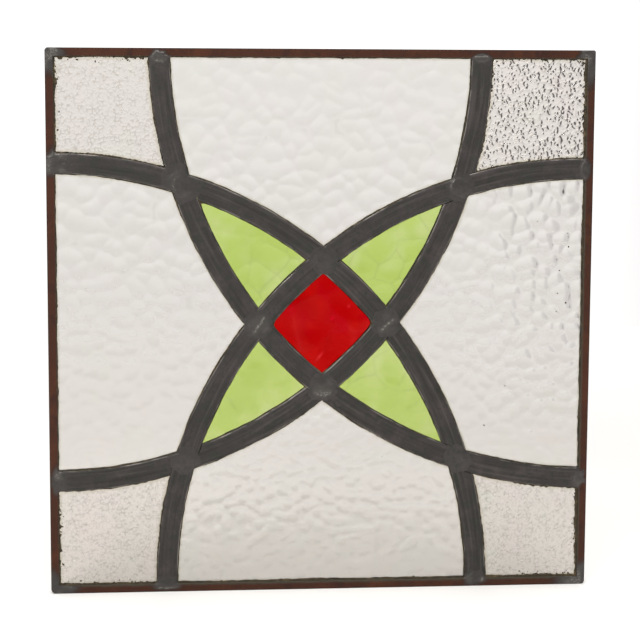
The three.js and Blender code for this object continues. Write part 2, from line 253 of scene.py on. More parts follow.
def ramp(tree, factor, stops):
    """A colour ramp from (place, grey value) stops."""
    node = put(tree, "ShaderNodeValToRGB", {"Fac": factor})
    elements = node.color_ramp.elements
    while len(elements) < len(stops):
        elements.new(0.5)
    for element, (place, grey) in zip(elements, stops):
        element.position = place
        element.color = (grey, grey, grey, 1)
    return node.outputs["Color"]


def blend_colours(tree, factor, first, second):
    """Mixes two colours and gives the socket of the result."""
    mixer = put(tree, "ShaderNodeMix", data_type="RGBA")
    # The node lists its sockets for colours after those for numbers and vectors
    for socket, value in ((mixer.inputs[0], factor), (mixer.inputs[6], first), (mixer.inputs[7], second)):
        if isinstance(value, bpy.types.NodeSocket):
            tree.links.new(value, socket)
        else:
            socket.default_value = value
    return mixer.outputs[2]


def noise(tree, place, scale, detail=3.0, roughness=0.55, distortion=0.0):
    """Cloudy noise at a place, with scale in features per metre."""
    settings = {"Vector": place, "Scale": scale, "Detail": detail}
    settings |= {"Roughness": roughness, "Distortion": distortion}
    return put(tree, "ShaderNodeTexNoise", settings).outputs["Fac"]


def new_group(name, inputs, outputs):
    """An empty node group with named sockets: (socket type, name, default value)."""
    tree = bpy.data.node_groups.new(name, "ShaderNodeTree")
    for kind, label, value in inputs:
        socket = tree.interface.new_socket(name=label, in_out="INPUT", socket_type=kind)
        if value is not None:
            socket.default_value = value
    for kind, label in outputs:
        tree.interface.new_socket(name=label, in_out="OUTPUT", socket_type=kind)
    return tree, tree.nodes.new("NodeGroupInput").outputs, tree.nodes.new("NodeGroupOutput").inputs


# %% [markdown]
# ### Tarnish
#
# Old lead is never one grey. Oxide, wax and dirt lie on it in soft clouds, some brownish, some greenish,
# with finer flecks over them. The group lays two clouds of different size over a ground colour and drops
# small dark flecks in. It also gives out a height, so that the flecks and the clouds are felt by the light.

# %% Tarnish group
COLOUR, NUMBER, PLACE = "NodeSocketColor", "NodeSocketFloat", "NodeSocketVector"

tarnish, given, result = new_group(
    "tarnish",
    [
        (PLACE, "Place", None),
        (COLOUR, "Ground", (0.06, 0.055, 0.05, 1)),
        (COLOUR, "Warm cloud", (0.07, 0.05, 0.04, 1)),
        (COLOUR, "Cool cloud", (0.05, 0.06, 0.05, 1)),
        (COLOUR, "Fleck", (0.02, 0.02, 0.015, 1)),
        (NUMBER, "Cloud scale", 60.0),
        (NUMBER, "Fleck scale", 700.0),
        (NUMBER, "Fleck amount", 0.3),
    ],
    [(COLOUR, "Color"), (NUMBER, "Clouds"), (NUMBER, "Height")],
)
# How much smaller the second clouds are than the first, and how deep a fleck is beside a cloud
FINER_CLOUDS = 2.7
FLECK_DEPTH = 0.35

clouds = noise(tarnish, given["Place"], given["Cloud scale"], 5.0, 0.6)
finer = calculate(tarnish, "MULTIPLY", given["Cloud scale"], FINER_CLOUDS)
other_clouds = noise(tarnish, given["Place"], finer, 4.0, 0.6, 0.6)
flecks = noise(tarnish, given["Place"], given["Fleck scale"], 2.0, 0.5)
warm_mask = ramp(tarnish, clouds, [(0.45, 0), (0.7, 1)])
colour = blend_colours(tarnish, warm_mask, given["Ground"], given["Warm cloud"])
cool_mask = ramp(tarnish, other_clouds, [(0.5, 0), (0.72, 1)])
colour = blend_colours(tarnish, cool_mask, colour, given["Cool cloud"])
all_flecks = ramp(tarnish, flecks, [(0.6, 0), (0.74, 1)])
fleck_mask = calculate(tarnish, "MULTIPLY", all_flecks, given["Fleck amount"])
colour = blend_colours(tarnish, fleck_mask, colour, given["Fleck"])
tarnish.links.new(colour, result["Color"])
tarnish.links.new(other_clouds, result["Clouds"])
height = calculate(tarnish, "MULTIPLY_ADD", flecks, -FLECK_DEPTH, other_clouds)
tarnish.links.new(height, result["Height"])
print(f"group {tarnish.name}: {len(tarnish.nodes)} nodes")

# %% [markdown]
# ### Rubbed edges
#
# A cloth drawn along the lead polishes the high edge of each leaf and misses the hollows. The paler colour
# that the lead lays on this band is also a painted highlight along the rim. The mesh of each came carries a
# number called edge, 0 on its middle line and 1 at the rim of the leaf, so the group only has to pick the
# band near the rim and break it up with noise.

# %% Rubbed edge group
rubbed, given, result = new_group(
    "rubbed edge",
    [(PLACE, "Place", None), (NUMBER, "Edge", 0.0), (NUMBER, "Start", 0.8), (NUMBER, "Patches", 70.0)],
    [(NUMBER, "Mask")],
)
band = remap(rubbed, given["Edge"], given["Start"], 1.0, way="SMOOTHSTEP")
patches = ramp(rubbed, noise(rubbed, given["Place"], given["Patches"], 4.0, 0.65), [(0.46, 0), (0.62, 1)])
mask = calculate(rubbed, "MULTIPLY", band, patches)
rubbed.links.new(mask, result["Mask"])
print(f"group {rubbed.name}: {len(rubbed.nodes)} nodes")

# %% [markdown]
# ### Grime and painted shade by the metal
#
# Putty oil and dust creep out from the lead over the glass, and on the glass the darker colour that this mask
# lays on also stands for the shade beside the metal, so there it is dirt and painted shade together. Each
# pane carries a number called to_metal, the distance to the nearest metal in millimetres. The mask is strong
# where that distance is small, and noise moves the limit to and fro so that it ends raggedly.

# %% Grime group
grime, given, result = new_group(
    "grime by the metal",
    [(PLACE, "Place", None), (NUMBER, "Distance", 5.0), (NUMBER, "Reach", 1.5), (NUMBER, "Raggedness", 1.5)],
    [(NUMBER, "Mask")],
)
RAGS_PER_METRE = 420.0

wander = noise(grime, given["Place"], RAGS_PER_METRE, 4.0, 0.65)
centred = calculate(grime, "SUBTRACT", wander, 0.5)
moved = calculate(grime, "MULTIPLY_ADD", centred, given["Raggedness"], given["Distance"])
mask = remap(grime, moved, given["Reach"], 0.0, way="SMOOTHSTEP")
grime.links.new(mask, result["Mask"])
print(f"group {grime.name}: {len(grime.nodes)} nodes")

# %% Starting a material
def start_material(name, **values):
    """A material with one Principled shader, plain values on its sockets, and a place to hang textures on."""
    material = bpy.data.materials.new(name)
    material.use_nodes = True
    tree = material.node_tree
    shader = tree.nodes["Principled BSDF"]
    for socket, value in values.items():
        shader.inputs[socket.replace("_", " ")].default_value = value
    place = put(tree, "ShaderNodeTexCoord").outputs["Object"]
    return material, tree, shader, place


def group_node(tree, group, inputs):
    """Places a group in a material with its own values."""
    node = tree.nodes.new("ShaderNodeGroup")
    node.node_tree = group
    for name, value in inputs.items():
        if isinstance(value, bpy.types.NodeSocket):
            tree.links.new(value, node.inputs[name])
        else:
            node.inputs[name].default_value = value
    return node.outputs


def carried(tree, name):
    """A number that the mesh carries at each point."""
    return put(tree, "ShaderNodeAttribute", attribute_name=name).outputs["Fac"]


def feel(tree, shader, height, strength, distance):
    """Lets the light feel a height by way of a Bump node."""
    bump = put(tree, "ShaderNodeBump", {"Height": height, "Strength": strength, "Distance": distance})
    tree.links.new(bump.outputs["Normal"], shader.inputs["Normal"])


# %% [markdown]
# ### Lead
#
# Lead left to itself turns a dark, slightly brown grey that is duller than steel but still a metal
# underneath, so the shader is mostly metallic and fairly rough. The mill that it was drawn through left long
# lines, so the mesh tells each point how far it lies across and along the came, in millimetres, and noise is
# read in those numbers, stretched along. The edge of the leaf is polished lighter and smoother in patches,
# and that lighter colour also stands in as a painted highlight along the rim.

# %% Lead finish
lead, tree, shader, place = start_material("old lead", Metallic=0.75, Specular_IOR_Level=0.35)
cloudy = group_node(tree, tarnish, {
    "Place": place,
    "Ground": srgb(63, 60, 58),
    "Warm cloud": srgb(76, 69, 69),
    "Cool cloud": srgb(58, 61, 55),
    "Fleck": srgb(36, 33, 31),
    "Cloud scale": 75.0,
    "Fleck scale": 1100.0,
    "Fleck amount": 0.35,
})
# Lines per millimetre across the came and along it: 25 times as long as they are wide
DRAWN_LINES = (0.5, 0.02, 1.0)
on_leaf = put(
    tree, "ShaderNodeCombineXYZ", {"X": carried(tree, "across"), "Y": carried(tree, "along"), "Z": 3.0}
).outputs[0]
stretched = put(tree, "ShaderNodeVectorMath", {0: on_leaf, 1: DRAWN_LINES}, operation="MULTIPLY").outputs[0]
drawn = noise(tree, stretched, 1.0, 2.0, 0.45)
pale_lines = blend_colours(
    tree, ramp(tree, drawn, [(0.54, 0), (0.72, 0.3)]), cloudy["Color"], srgb(104, 97, 92)
)
dark_lines = blend_colours(tree, ramp(tree, drawn, [(0.32, 0.4), (0.46, 0)]), pale_lines, srgb(46, 44, 40))
rubbed_and_highlit = group_node(tree, rubbed, {
    "Place": place,
    "Edge": carried(tree, "edge"),
    "Start": 0.86,
    "Patches": 60.0,
})
# The paler rim is rubbed wear and a painted highlight together.
with_edges = blend_colours(tree, rubbed_and_highlit["Mask"], dark_lines, srgb(132, 127, 122))
tree.links.new(with_edges, shader.inputs["Base Color"])
duller = remap(tree, cloudy["Clouds"], 0.0, 1.0, low=0.42, high=0.68)
smoother = calculate(tree, "MULTIPLY_ADD", rubbed_and_highlit["Mask"], -0.2, duller)
tree.links.new(smoother, shader.inputs["Roughness"])
feel(tree, shader, cloudy["Height"], 0.35, 0.0006)
print(f"{lead.name}: {len(tree.nodes)} nodes")

# %% [markdown]
# ### Border channel
#
# The border is a channel of harder metal with a reddish brown skin, part oxide and part old varnish. It is
# darker in clouds and along its outer edge, and the same grime as on the glass has crept over its inner
# edge. The mesh carries the distance to the glass, counted in steps that are longer on the bottom and the
# right bar, where the grime lies wider.

# %% Border finish
channel, tree, shader, place = start_material("brown channel", Metallic=0.15, Specular_IOR_Level=0.25)
browned = group_node(tree, tarnish, {
    "Place": place,
    "Ground": srgb(61, 31, 17),
    "Warm cloud": srgb(74, 38, 19),
    "Cool cloud": srgb(47, 24, 15),
    "Fleck": srgb(38, 26, 20),
    "Cloud scale": 45.0,
    "Fleck scale": 900.0,
    "Fleck amount": 0.5,
})
edge_dark = remap(tree, carried(tree, "edge"), 0.75, 1.0, way="SMOOTHSTEP")
darker = blend_colours(tree, edge_dark, browned["Color"], srgb(48, 34, 26))
crept = group_node(tree, grime, {
    "Place": place,
    "Distance": carried(tree, "to_glass"),
    "Reach": 1.4,
    "Raggedness": 1.6,
})
soiled = blend_colours(tree, crept["Mask"], darker, srgb(64, 59, 48))
tree.links.new(soiled, shader.inputs["Base Color"])
tree.links.new(remap(tree, browned["Clouds"], 0.0, 1.0, low=0.38, high=0.62), shader.inputs["Roughness"])
feel(tree, shader, browned["Height"], 0.3, 0.0005)
print(f"{channel.name}: {len(tree.nodes)} nodes")

# %% [markdown]
# ### Solder
#
# Solder is tin and lead. It froze in lumps and ridges, and then took on almost the colour of the lead round
# it, a little greener and shinier. Its tops are worn paler, with specks of bare bright metal, and the same
# pale colour is laid on the crests of its ridges and crescents as painted highlights. The mesh carries two
# numbers: the first says how worn a place is and where a painted highlight lies, and thin says where a puddle
# on the border runs out into the brown.

# %% Solder finish
solder, tree, shader, place = start_material("old solder", Metallic=0.85, Specular_IOR_Level=0.4)
dulled = group_node(tree, tarnish, {
    "Place": place,
    "Ground": srgb(71, 68, 66),
    "Warm cloud": srgb(78, 73, 72),
    "Cool cloud": srgb(64, 65, 61),
    "Fleck": srgb(40, 37, 33),
    "Cloud scale": 130.0,
    "Fleck scale": 1500.0,
    "Fleck amount": 0.4,
})
# Worn tops are paler, and the same paler colour and bright specks are also painted highlights on the crests
# of ridges and crescents.
bright = carried(tree, "bright")
paler = calculate(tree, "MULTIPLY", bright, 0.5)
worn_and_glinting = blend_colours(tree, paler, dulled["Color"], srgb(118, 114, 107))
uneven = calculate(tree, "ADD", noise(tree, place, 900.0, 3.0, 0.6), bright)
bare_specks_and_glints = remap(tree, uneven, 0.92, 1.3)
speckled = blend_colours(tree, bare_specks_and_glints, worn_and_glinting, srgb(160, 155, 149))
run_out = blend_colours(tree, carried(tree, "thin"), speckled, srgb(66, 47, 40))
tree.links.new(run_out, shader.inputs["Base Color"])
shiny = remap(tree, dulled["Clouds"], 0.0, 1.0, low=0.3, high=0.55)
tree.links.new(shiny, shader.inputs["Roughness"])
feel(tree, shader, dulled["Height"], 0.4, 0.0005)
print(f"{solder.name}: {len(tree.nodes)} nodes")

# %% [markdown]
# ### Cement
#
# Glazing cement is whiting and linseed oil with lampblack. It has dried to a crumbly olive brown, nearly
# black in its hollows and paler where it is dusty.

# %% Cement finish
cement, tree, shader, place = start_material("glazing cement", Roughness=0.85, Specular_IOR_Level=0.25)
crumbly = group_node(tree, tarnish, {
    "Place": place,
    "Ground": srgb(62, 54, 40),
    "Warm cloud": srgb(98, 84, 62),
    "Cool cloud": srgb(40, 37, 28),
    "Fleck": srgb(22, 20, 14),
    "Cloud scale": 260.0,
    "Fleck scale": 1600.0,
    "Fleck amount": 0.7,
})
tree.links.new(crumbly["Color"], shader.inputs["Base Color"])
feel(tree, shader, crumbly["Height"], 0.8, 0.0006)
print(f"{cement.name}: {len(tree.nodes)} nodes")

# %% [markdown]
# ### Glass
#
# Every pane is see-through, with its colour set by how much light each surface lets pass. The clear panes are
# a little warm and drift between faintly pink and faintly green, as old sheet glass does. The relief isn't in
# the shader but in the mesh, because only a real surface bends what is seen through it. The grime group
# darkens the glass beside the metal, as dirt and as painted shade. The creases of the relief carry painted
# shade in their colour, and the red pane carries pale painted glints there.

# %% One function for all the glass
def make_glass(name, ground, pink, green, reach, ragged, dirt_and_shade_colour, painted_crease_light, sheen_of_glass=(1, 1, 1, 1)):
    """A see-through finish in three tints, darker near the metal with dirt and painted shade, with (amount,
    colour) of painted light in its creases.
    """
    amount, painted_crease_colour = painted_crease_light
    material, tree, shader, place = start_material(
        name, Transmission_Weight=1.0, IOR=1.5, Specular_Tint=sheen_of_glass, Roughness=0.0
    )
    pink_clouds = ramp(tree, noise(tree, place, 38.0), [(0.48, 0), (0.66, 1)])
    colour = blend_colours(tree, pink_clouds, ground, pink)
    green_clouds = ramp(tree, noise(tree, place, 31.0, 2.0), [(0.5, 0), (0.68, 1)])
    colour = blend_colours(tree, green_clouds, colour, green)
    # The creases of the relief take painted light in their colour: painted shade in the clear and green
    # panes, a pale painted glint in the red one.
    crease = put(
        tree, "ShaderNodeMath", {0: carried(tree, "crease"), 1: amount}, operation="MULTIPLY", use_clamp=True
    ).outputs[0]
    colour = blend_colours(tree, crease, colour, painted_crease_colour)
    dirt_and_shade_mask = group_node(tree, grime, {
        "Place": place,
        "Distance": carried(tree, "to_metal"),
        "Reach": reach,
        "Raggedness": ragged,
    })
    # The darker colour beside the metal is dirt and painted shade together.
    tree.links.new(blend_colours(tree, dirt_and_shade_mask["Mask"], colour, dirt_and_shade_colour), shader.inputs["Base Color"])
    print(f"{name}: {len(tree.nodes)} nodes")
    return material


# For each glass: three tints, the reach and raggedness of the darkening by the metal, its colour (dirt and
# painted shade), and the crease amount and colour (painted shade, and a pale painted glint in the red).
hammered_glass = make_glass(
    "hammered clear glass", (0.69, 0.666, 0.635, 1), (0.698, 0.663, 0.636, 1), (0.684, 0.671, 0.630, 1),
    2.3, 2.0, (0.41, 0.37, 0.25, 1), (0.09, (0.36, 0.34, 0.31, 1)),
)
grained_glass = make_glass(
    "grained clear glass", (0.68, 0.645, 0.608, 1), (0.695, 0.642, 0.612, 1), (0.67, 0.652, 0.598, 1),
    3.1, 3.4, (0.42, 0.37, 0.25, 1), (0.9, (0.34, 0.31, 0.27, 1)),
)
green_glass = make_glass(
    "green glass", (0.442, 0.566, 0.118, 1), (0.512, 0.61, 0.213, 1), (0.407, 0.532, 0.098, 1),
    1.0, 1.0, (0.15, 0.20, 0.05, 1), (0.3, (0.17, 0.22, 0.10, 1)),
)
red_glass = make_glass(
    "red glass", (0.445, 0.0, 0.001, 1), (0.51, 0.003, 0.002, 1), (0.37, 0.0, 0.001, 1),
    1.0, 1.0, (0.10, 0.0, 0.004, 1), (1.0, (0.85, 0.36, 0.32, 1)), sheen_of_glass=(0.25, 0.09, 0.07, 1),
)

# %% [markdown]
# ## Making a piece
#
# Every piece below is a list of points and a list of faces, worked out by a function. One helper turns them
# into a mesh, points all the faces outward, keeps the hard corners hard, and hides the solid that the piece
# stands for.

# %% From points to a piece
HARD_CORNER = math.radians(42)
triangle_count = 0


def make_piece(name, points, faces, finish, slot=None, stands_for=(), carries=None):
    """A closed mesh from points in millimetres. carries gives numbers for each point, by name."""
    global triangle_count
    mesh = bpy.data.meshes.new(name)
    mesh.from_pydata((np.asarray(points, float) * MM).tolist(), [], faces)
    for label, values in (carries or {}).items():
        mesh.attributes.new(label, "FLOAT", "POINT").data.foreach_set("value", np.asarray(values, np.float32))
    shell = bmesh.new()
    shell.from_mesh(mesh)
    bmesh.ops.recalc_face_normals(shell, faces=shell.faces)
    open_edges = sum(not edge.is_manifold for edge in shell.edges)
    shell.to_mesh(mesh)
    shell.free()
    mesh.shade_smooth()
    mesh.set_sharp_from_angle(angle=HARD_CORNER)
    mesh.materials.append(finish)
    piece = bpy.data.objects.new(name, mesh)
    scene.collection.objects.link(piece)
    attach(piece, "root")
    if stands_for:
        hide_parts(*stands_for)
    triangles = sum(len(face) - 2 for face in faces)
    triangle_count += triangles
    print(f"{name}: {triangles} triangles, {open_edges} open edges")
    return piece


def wall_faces(lines, steps):
    """Quads of a tube closed round its lines. Its points are stored line by line, steps of them in each."""
    line, step = np.meshgrid(np.arange(lines), np.arange(steps - 1), indexing="ij")
    following = (line + 1) % lines
    here, there = line * steps + step, following * steps + step
    quads = [here, here + 1, there + 1, there]
    return np.stack(quads, -1).reshape(-1, 4).tolist()


def end_faces(section, steps, at):
    """Triangles that close one end of such a tube, cut from the flat shape of its section."""
    flat = [Vector((across, depth, 0)) for across, depth in section]
    return [[index * steps + at for index in triangle] for triangle in tessellate_polygon([flat])]


def swept_faces(section, steps):
    """All the faces of a tube with one section from end to end."""
    ends = end_faces(section, steps, 0) + end_faces(section, steps, steps - 1)
    return wall_faces(len(section), steps) + ends


# %% [markdown]
# ## The lead cames
#
# A came is an H of lead, drawn through a mill, that grips glass in both its grooves. Here it is bent to an
# arc and cut to fit the came that it meets. Blender could bend a straight H with a Curve modifier, but the
# cut ends have to follow the curve of the next came, so each line of the section is swept by itself.
# room_at says how far along the arc that line may run, and the ends come out cut to the right curve.
#
# The face of a drawn leaf isn't flat. It is a shallow cushion that bends down towards its rim, and that
# bend is what catches the light all along the lines of the window.

# %% The section of a came
CUSHION_DROP = 0.1
BEVEL_FROM = 0.76
BEVEL_DROP = 0.42


def face_drop(across):
    """How far the face of a leaf falls back at a distance from its middle line."""
    share = np.clip(np.abs(across) / LEAF_HALF, 0, 1)
    bevel = np.clip((share - BEVEL_FROM) / (1 - BEVEL_FROM), 0, 1)
    return CUSHION_DROP * share**2 + BEVEL_DROP * bevel**1.6


def came_section():
    """The closed H, as (distance across, depth), with its face rounded by face_drop."""
    shares = np.array([0.985, 0.95, 0.91, 0.87, 0.83, 0.78, 0.7, 0.5, 0.25])
    face = [(share * LEAF_HALF, FACE_HALF - face_drop(share * LEAF_HALF)) for share in shares]
    groove = [(HEART_HALF, CHANNEL_HALF), (LEAF_HALF / 2, CHANNEL_HALF), (LEAF_HALF - 0.2, CHANNEL_HALF)]
    rim = [(LEAF_HALF - 0.03, CHANNEL_HALF + 0.12), (LEAF_HALF, CHANNEL_HALF + 0.35)]
    quarter = groove + rim + face
    front = [(a, -d) for a, d in quarter] + [(0.0, -FACE_HALF)] + [(-a, -d) for a, d in reversed(quarter)]
    back = [(-a, d) for a, d in quarter] + [(0.0, FACE_HALF)] + [(a, d) for a, d in reversed(quarter)]
    return front + back


SECTION = came_section()
print(f"section of {len(SECTION)} points")

# %% Bending a came
CAME_STEP = 1.5
# In degrees: how far from its middle a came is looked for, and how finely
WIDEST_TURN, FINE_TURN = 60, 0.01
# How far out from the channel the dented face of a leaf starts
FACE_FROM = 0.4
EDGE_WANDER = 0.16
DENT_DEPTH = 0.1


def reach_along(circle, across, inside, outside, middle):
    """The first and last angle that one line of the section may run to."""
    turn = middle + np.radians(np.arange(-WIDEST_TURN, WIDEST_TURN, FINE_TURN))
    radius = circle.radius + across
    x, z = circle.x + radius * np.cos(turn), circle.z + radius * np.sin(turn)
    room = room_at(x, z, inside, outside, LEAF_HALF + JOINT_GAP, BORDER_FACE + JOINT_GAP)
    centre = len(turn) // 2
    before = np.flatnonzero(room[:centre] <= 0)
    after = np.flatnonzero(room[centre:] <= 0)
    return turn[before[-1] + 1], turn[centre + after[0] - 1]


def bend_came(node, corner, inside, outside, seed):
    """One came on the circle round a corner, cut by the cames that it runs up against."""
    circle = CIRCLES[corner]
    centre = points_of(node).mean(axis=0)
    middle = math.atan2(centre[2] - circle.z, centre[0] - circle.x)
    ends = np.array([reach_along(circle, across, inside, outside, middle) for across, _ in SECTION])
    steps = 1 + round(circle.radius * np.ptp(ends[0]) / CAME_STEP)
    turn = ends[:, :1] + (ends[:, 1:] - ends[:, :1]) * np.linspace(0, 1, steps)
    across, depth = (np.array(SECTION)[:, i : i + 1] for i in (0, 1))
    share = across / LEAF_HALF
    along = circle.radius * turn
    side = np.sign(across) + 3 * np.sign(depth)
    wander = EDGE_WANDER * (drift(along, side * 40, 9, seed) + 0.5 * drift(along, side * 40, 3.5, seed + 1))
    radius = circle.radius + across + wander * share * np.abs(share)
    x, z = circle.x + radius * np.cos(turn), circle.z + radius * np.sin(turn)
    dent = ease(drift(x, z, 7, seed + 2) - 0.15) + 0.6 * ease(1.5 * drift(x, z, 2.8, seed + 3) - 0.8)
    on_face = np.abs(depth) > CHANNEL_HALF + FACE_FROM
    y = depth - np.sign(depth) * DENT_DEPTH * dent * on_face
    points = np.stack([x, y, z], -1).reshape(-1, 3)
    lines = {"edge": np.abs(share), "across": across + seed, "along": along}
    carries = {label: np.broadcast_to(values, x.shape).ravel() for label, values in lines.items()}
    name = node.replace("came_", "lead_")
    return make_piece(name, points, swept_faces(SECTION, steps), lead, "lead", [node], carries)


# %% The twelve cames
TL, TR, BL, BR = "top_left", "top_right", "bottom_left", "bottom_right"

CAMES = [
    ("came_through_arc", BR, [], []),
    ("came_top_to_middle_left", TR, [], [BR]),
    ("came_middle_left_to_right_edge", TR, [BR], []),
    ("came_top_edge_right", TL, [TR], [BR]),
    ("came_right_arc", TL, [BR, TR], []),
    ("came_bottom_left_arc", TL, [BR], [TR]),
    ("came_left_edge_lower", TL, [], [BR, TR]),
    ("came_left_edge_upper", BL, [TL], [TR, BR]),
    ("came_top_left_arc", BL, [TL, TR], [BR]),
    ("came_centre_link", BL, [TL, TR, BR], []),
    ("came_bottom_right_arc", BL, [TR, BR], [TL]),
    ("came_bottom_edge_right", BL, [BR], [TL, TR]),
]
for seed, (node, corner, inside, outside) in enumerate(CAMES):
    bend_came(node, corner, inside, outside, seed=10 * seed + 1)

# %% [markdown]
# ## The border
#
# Four bars of U channel close the panel. They are mitred at the corners, and each outer corner has been
# filed round, some more than others. Each line of the U section is swept along the bar like a line of the
# came. A line near the outside follows the rounding; one further in starts on the mitre.

# %% The section of a bar
def bar_section():
    """The closed U, as (distance in from the outer edge, depth)."""
    soft = 0.3
    lip = [(WEB, CHANNEL_HALF), (BORDER_FACE - 0.1, CHANNEL_HALF), (BORDER_FACE, CHANNEL_HALF + 0.15)]
    lip += [(BORDER_FACE, FACE_HALF - soft), (BORDER_FACE - soft / 3, FACE_HALF - soft / 3)]
    lip += [(BORDER_FACE - soft, FACE_HALF)]
    face = [(share * BORDER_FACE, FACE_HALF) for share in (0.8, 0.65, 0.5, 0.35, 0.2)]
    outer = [(soft, FACE_HALF), (soft / 3, FACE_HALF - soft / 3), (0.0, FACE_HALF - soft)]
    half = lip + face + outer
    front = [(inward, -depth) for inward, depth in half]
    return front + half[::-1]


BAR_SECTION = bar_section()
print(f"bar section of {len(BAR_SECTION)} points")

# %% Sweeping a bar
BAR_STEP = 2.0
# The strips along the inner and the outer edge of a bar's face that aren't dented
PLAIN_STRIP = 0.5
HOLLOW_DEPTH = 0.05
MITRE_SHIFT = JOINT_GAP / math.sqrt(2)
CORNER_STEPS = 7


def corner_run(inward, rounding):
    """Places (along, inward) of one line of the section round half a corner, from the mitre outwards."""
    share = np.linspace(0, 1, CORNER_STEPS)
    if inward < rounding:
        angle = math.pi / 4 * (1 + share)
        reach = rounding - inward
        return rounding - reach * np.cos(angle), rounding - reach * np.sin(angle)
    return inward + share * (max(rounding, inward) + 1 - inward) * 0.8, np.full(CORNER_STEPS, inward)


def sweep_bar(node, length, start, along, inner, first_rounding, last_rounding, grime_step, seed):
    """A bar from a corner of the panel, along one direction and thick towards another."""
    straight = np.linspace(0, 1, round(length / BAR_STEP))[1:-1]
    points, edge, to_glass = [], [], []
    for inward, depth in BAR_SECTION:
        first_s, first_n = corner_run(inward, first_rounding)
        last_s, last_n = corner_run(inward, last_rounding)
        first_s, last_s = first_s + MITRE_SHIFT, length - last_s[::-1] - MITRE_SHIFT
        middle_s = first_s[-1] + (last_s[0] - first_s[-1]) * straight
        s = np.r_[first_s, middle_s, last_s]
        n = np.r_[first_n, np.full(len(straight), inward), last_n[::-1]]
        on_lip = inward > BORDER_FACE - PLAIN_STRIP
        n = n - on_lip * (0.07 + 0.07 * drift(s, depth * 9, 12, seed))
        on_face = PLAIN_STRIP < inward < BORDER_FACE - PLAIN_STRIP
        hollow = HOLLOW_DEPTH * ease(drift(s, inward * 2 + depth * 9, 9, seed + 1)) * on_face
        y = depth - np.sign(depth) * hollow * (abs(depth) > CHANNEL_HALF + 0.5)
        x = start[0] + along[0] * s + inner[0] * n
        z = start[1] + along[1] * s + inner[1] * n
        points.append(np.stack([x, y, z], -1))
        edge.append(np.full(len(s), max(1 - 2 * inward / BORDER_FACE, 0)))
        to_glass.append(np.full(len(s), (BORDER_FACE - inward) / grime_step))
    steps = len(points[0])
    faces = swept_faces(BAR_SECTION, steps)
    name = node.replace("border_", "channel_")
    carries = {"edge": np.concatenate(edge), "to_glass": np.concatenate(to_glass)}
    return make_piece(name, np.concatenate(points), faces, channel, "border_channel", [node], carries)


# %% The four bars
ROUNDING = {TL: 1.6, TR: 0.8, BL: 2.8, BR: 2.2}
RIGHT, LEFT, UP, DOWN = (1, 0), (-1, 0), (0, 1), (0, -1)
WIDTH = 2 * HALF_WIDTH

sweep_bar("border_bottom", WIDTH, (HALF_WIDTH, 0), LEFT, UP, ROUNDING[BR], ROUNDING[BL], 1.5, seed=201)
sweep_bar("border_top", WIDTH, (-HALF_WIDTH, HEIGHT), RIGHT, DOWN, ROUNDING[TL], ROUNDING[TR], 0.35, seed=211)
sweep_bar("border_left", HEIGHT, (-HALF_WIDTH, 0), UP, RIGHT, ROUNDING[BL], ROUNDING[TL], 0.35, seed=221)
sweep_bar("border_right", HEIGHT, (HALF_WIDTH, HEIGHT), DOWN, LEFT, ROUNDING[TR], ROUNDING[BR], 1.1, seed=231)

# %% [markdown]
# ## The glass
#
# Two kinds of clear glass show here. The large panes are hammered: a roller has pressed shallow bowls into
# one face. The corner panes are finer grained, like the skin of an orange, with narrow crooked grooves
# between the grains. The relief is cut into the front face as real geometry, because a bump in the shader
# doesn't change what the glass shows at its edges or in a mirror, and because glass is judged by how it
# bends what is behind it.
#
# Both kinds start from scattered middles, one in each square of a grid. A bowl belongs to the nearest
# middle. A groove runs where two middles are equally near.

# %% Scattered middles
# How far a middle may lie from the centre of its square, as a share of the square
OFF_CENTRE = 0.48


def scattered(x, z, size, seed):
    """For each point, the offsets to the middles in the nine squares round it, and a number for each."""
    i, j = np.floor(x / size), np.floor(z / size)
    for di in (-1, 0, 1):
        for dj in (-1, 0, 1):
            a, b = i + di, j + dj
            mx = (a + 0.5 + OFF_CENTRE * (2 * dice(a, b, seed) - 1)) * size
            mz = (b + 0.5 + OFF_CENTRE * (2 * dice(a, b, seed + 1) - 1)) * size
            yield x - mx, z - mz, dice(a, b, seed + 2)


# %% Hammered relief
def hammered(x, z, size, depth, seed, ridge=0.07):
    """Depth of bowls about size across, and how near a crease is. A larger ridge makes the creases softer."""
    bent_x = x + 0.3 * size * drift(x, z, size * 1.4, seed + 5)
    bent_z = z + 0.3 * size * drift(x, z, size * 1.4, seed + 6)
    total, largest = np.zeros_like(x), np.zeros_like(x)
    softness = ridge * depth
    for dx, dz, chance in scattered(bent_x, bent_z, size, seed):
        floor = depth * (0.7 + 0.5 * chance) - 4 * depth * (dx**2 + dz**2) / size**2
        share = np.exp(floor / softness)
        total += share
        largest = np.maximum(largest, share)
    relief = np.maximum(softness * np.log(total + 1e-12), -0.5 * depth) + 0.5 * depth
    crease = 2 * (1 - largest / (total + 1e-12)) * ease(0.5 + drift(x, z, size, seed + 7))
    return relief, crease


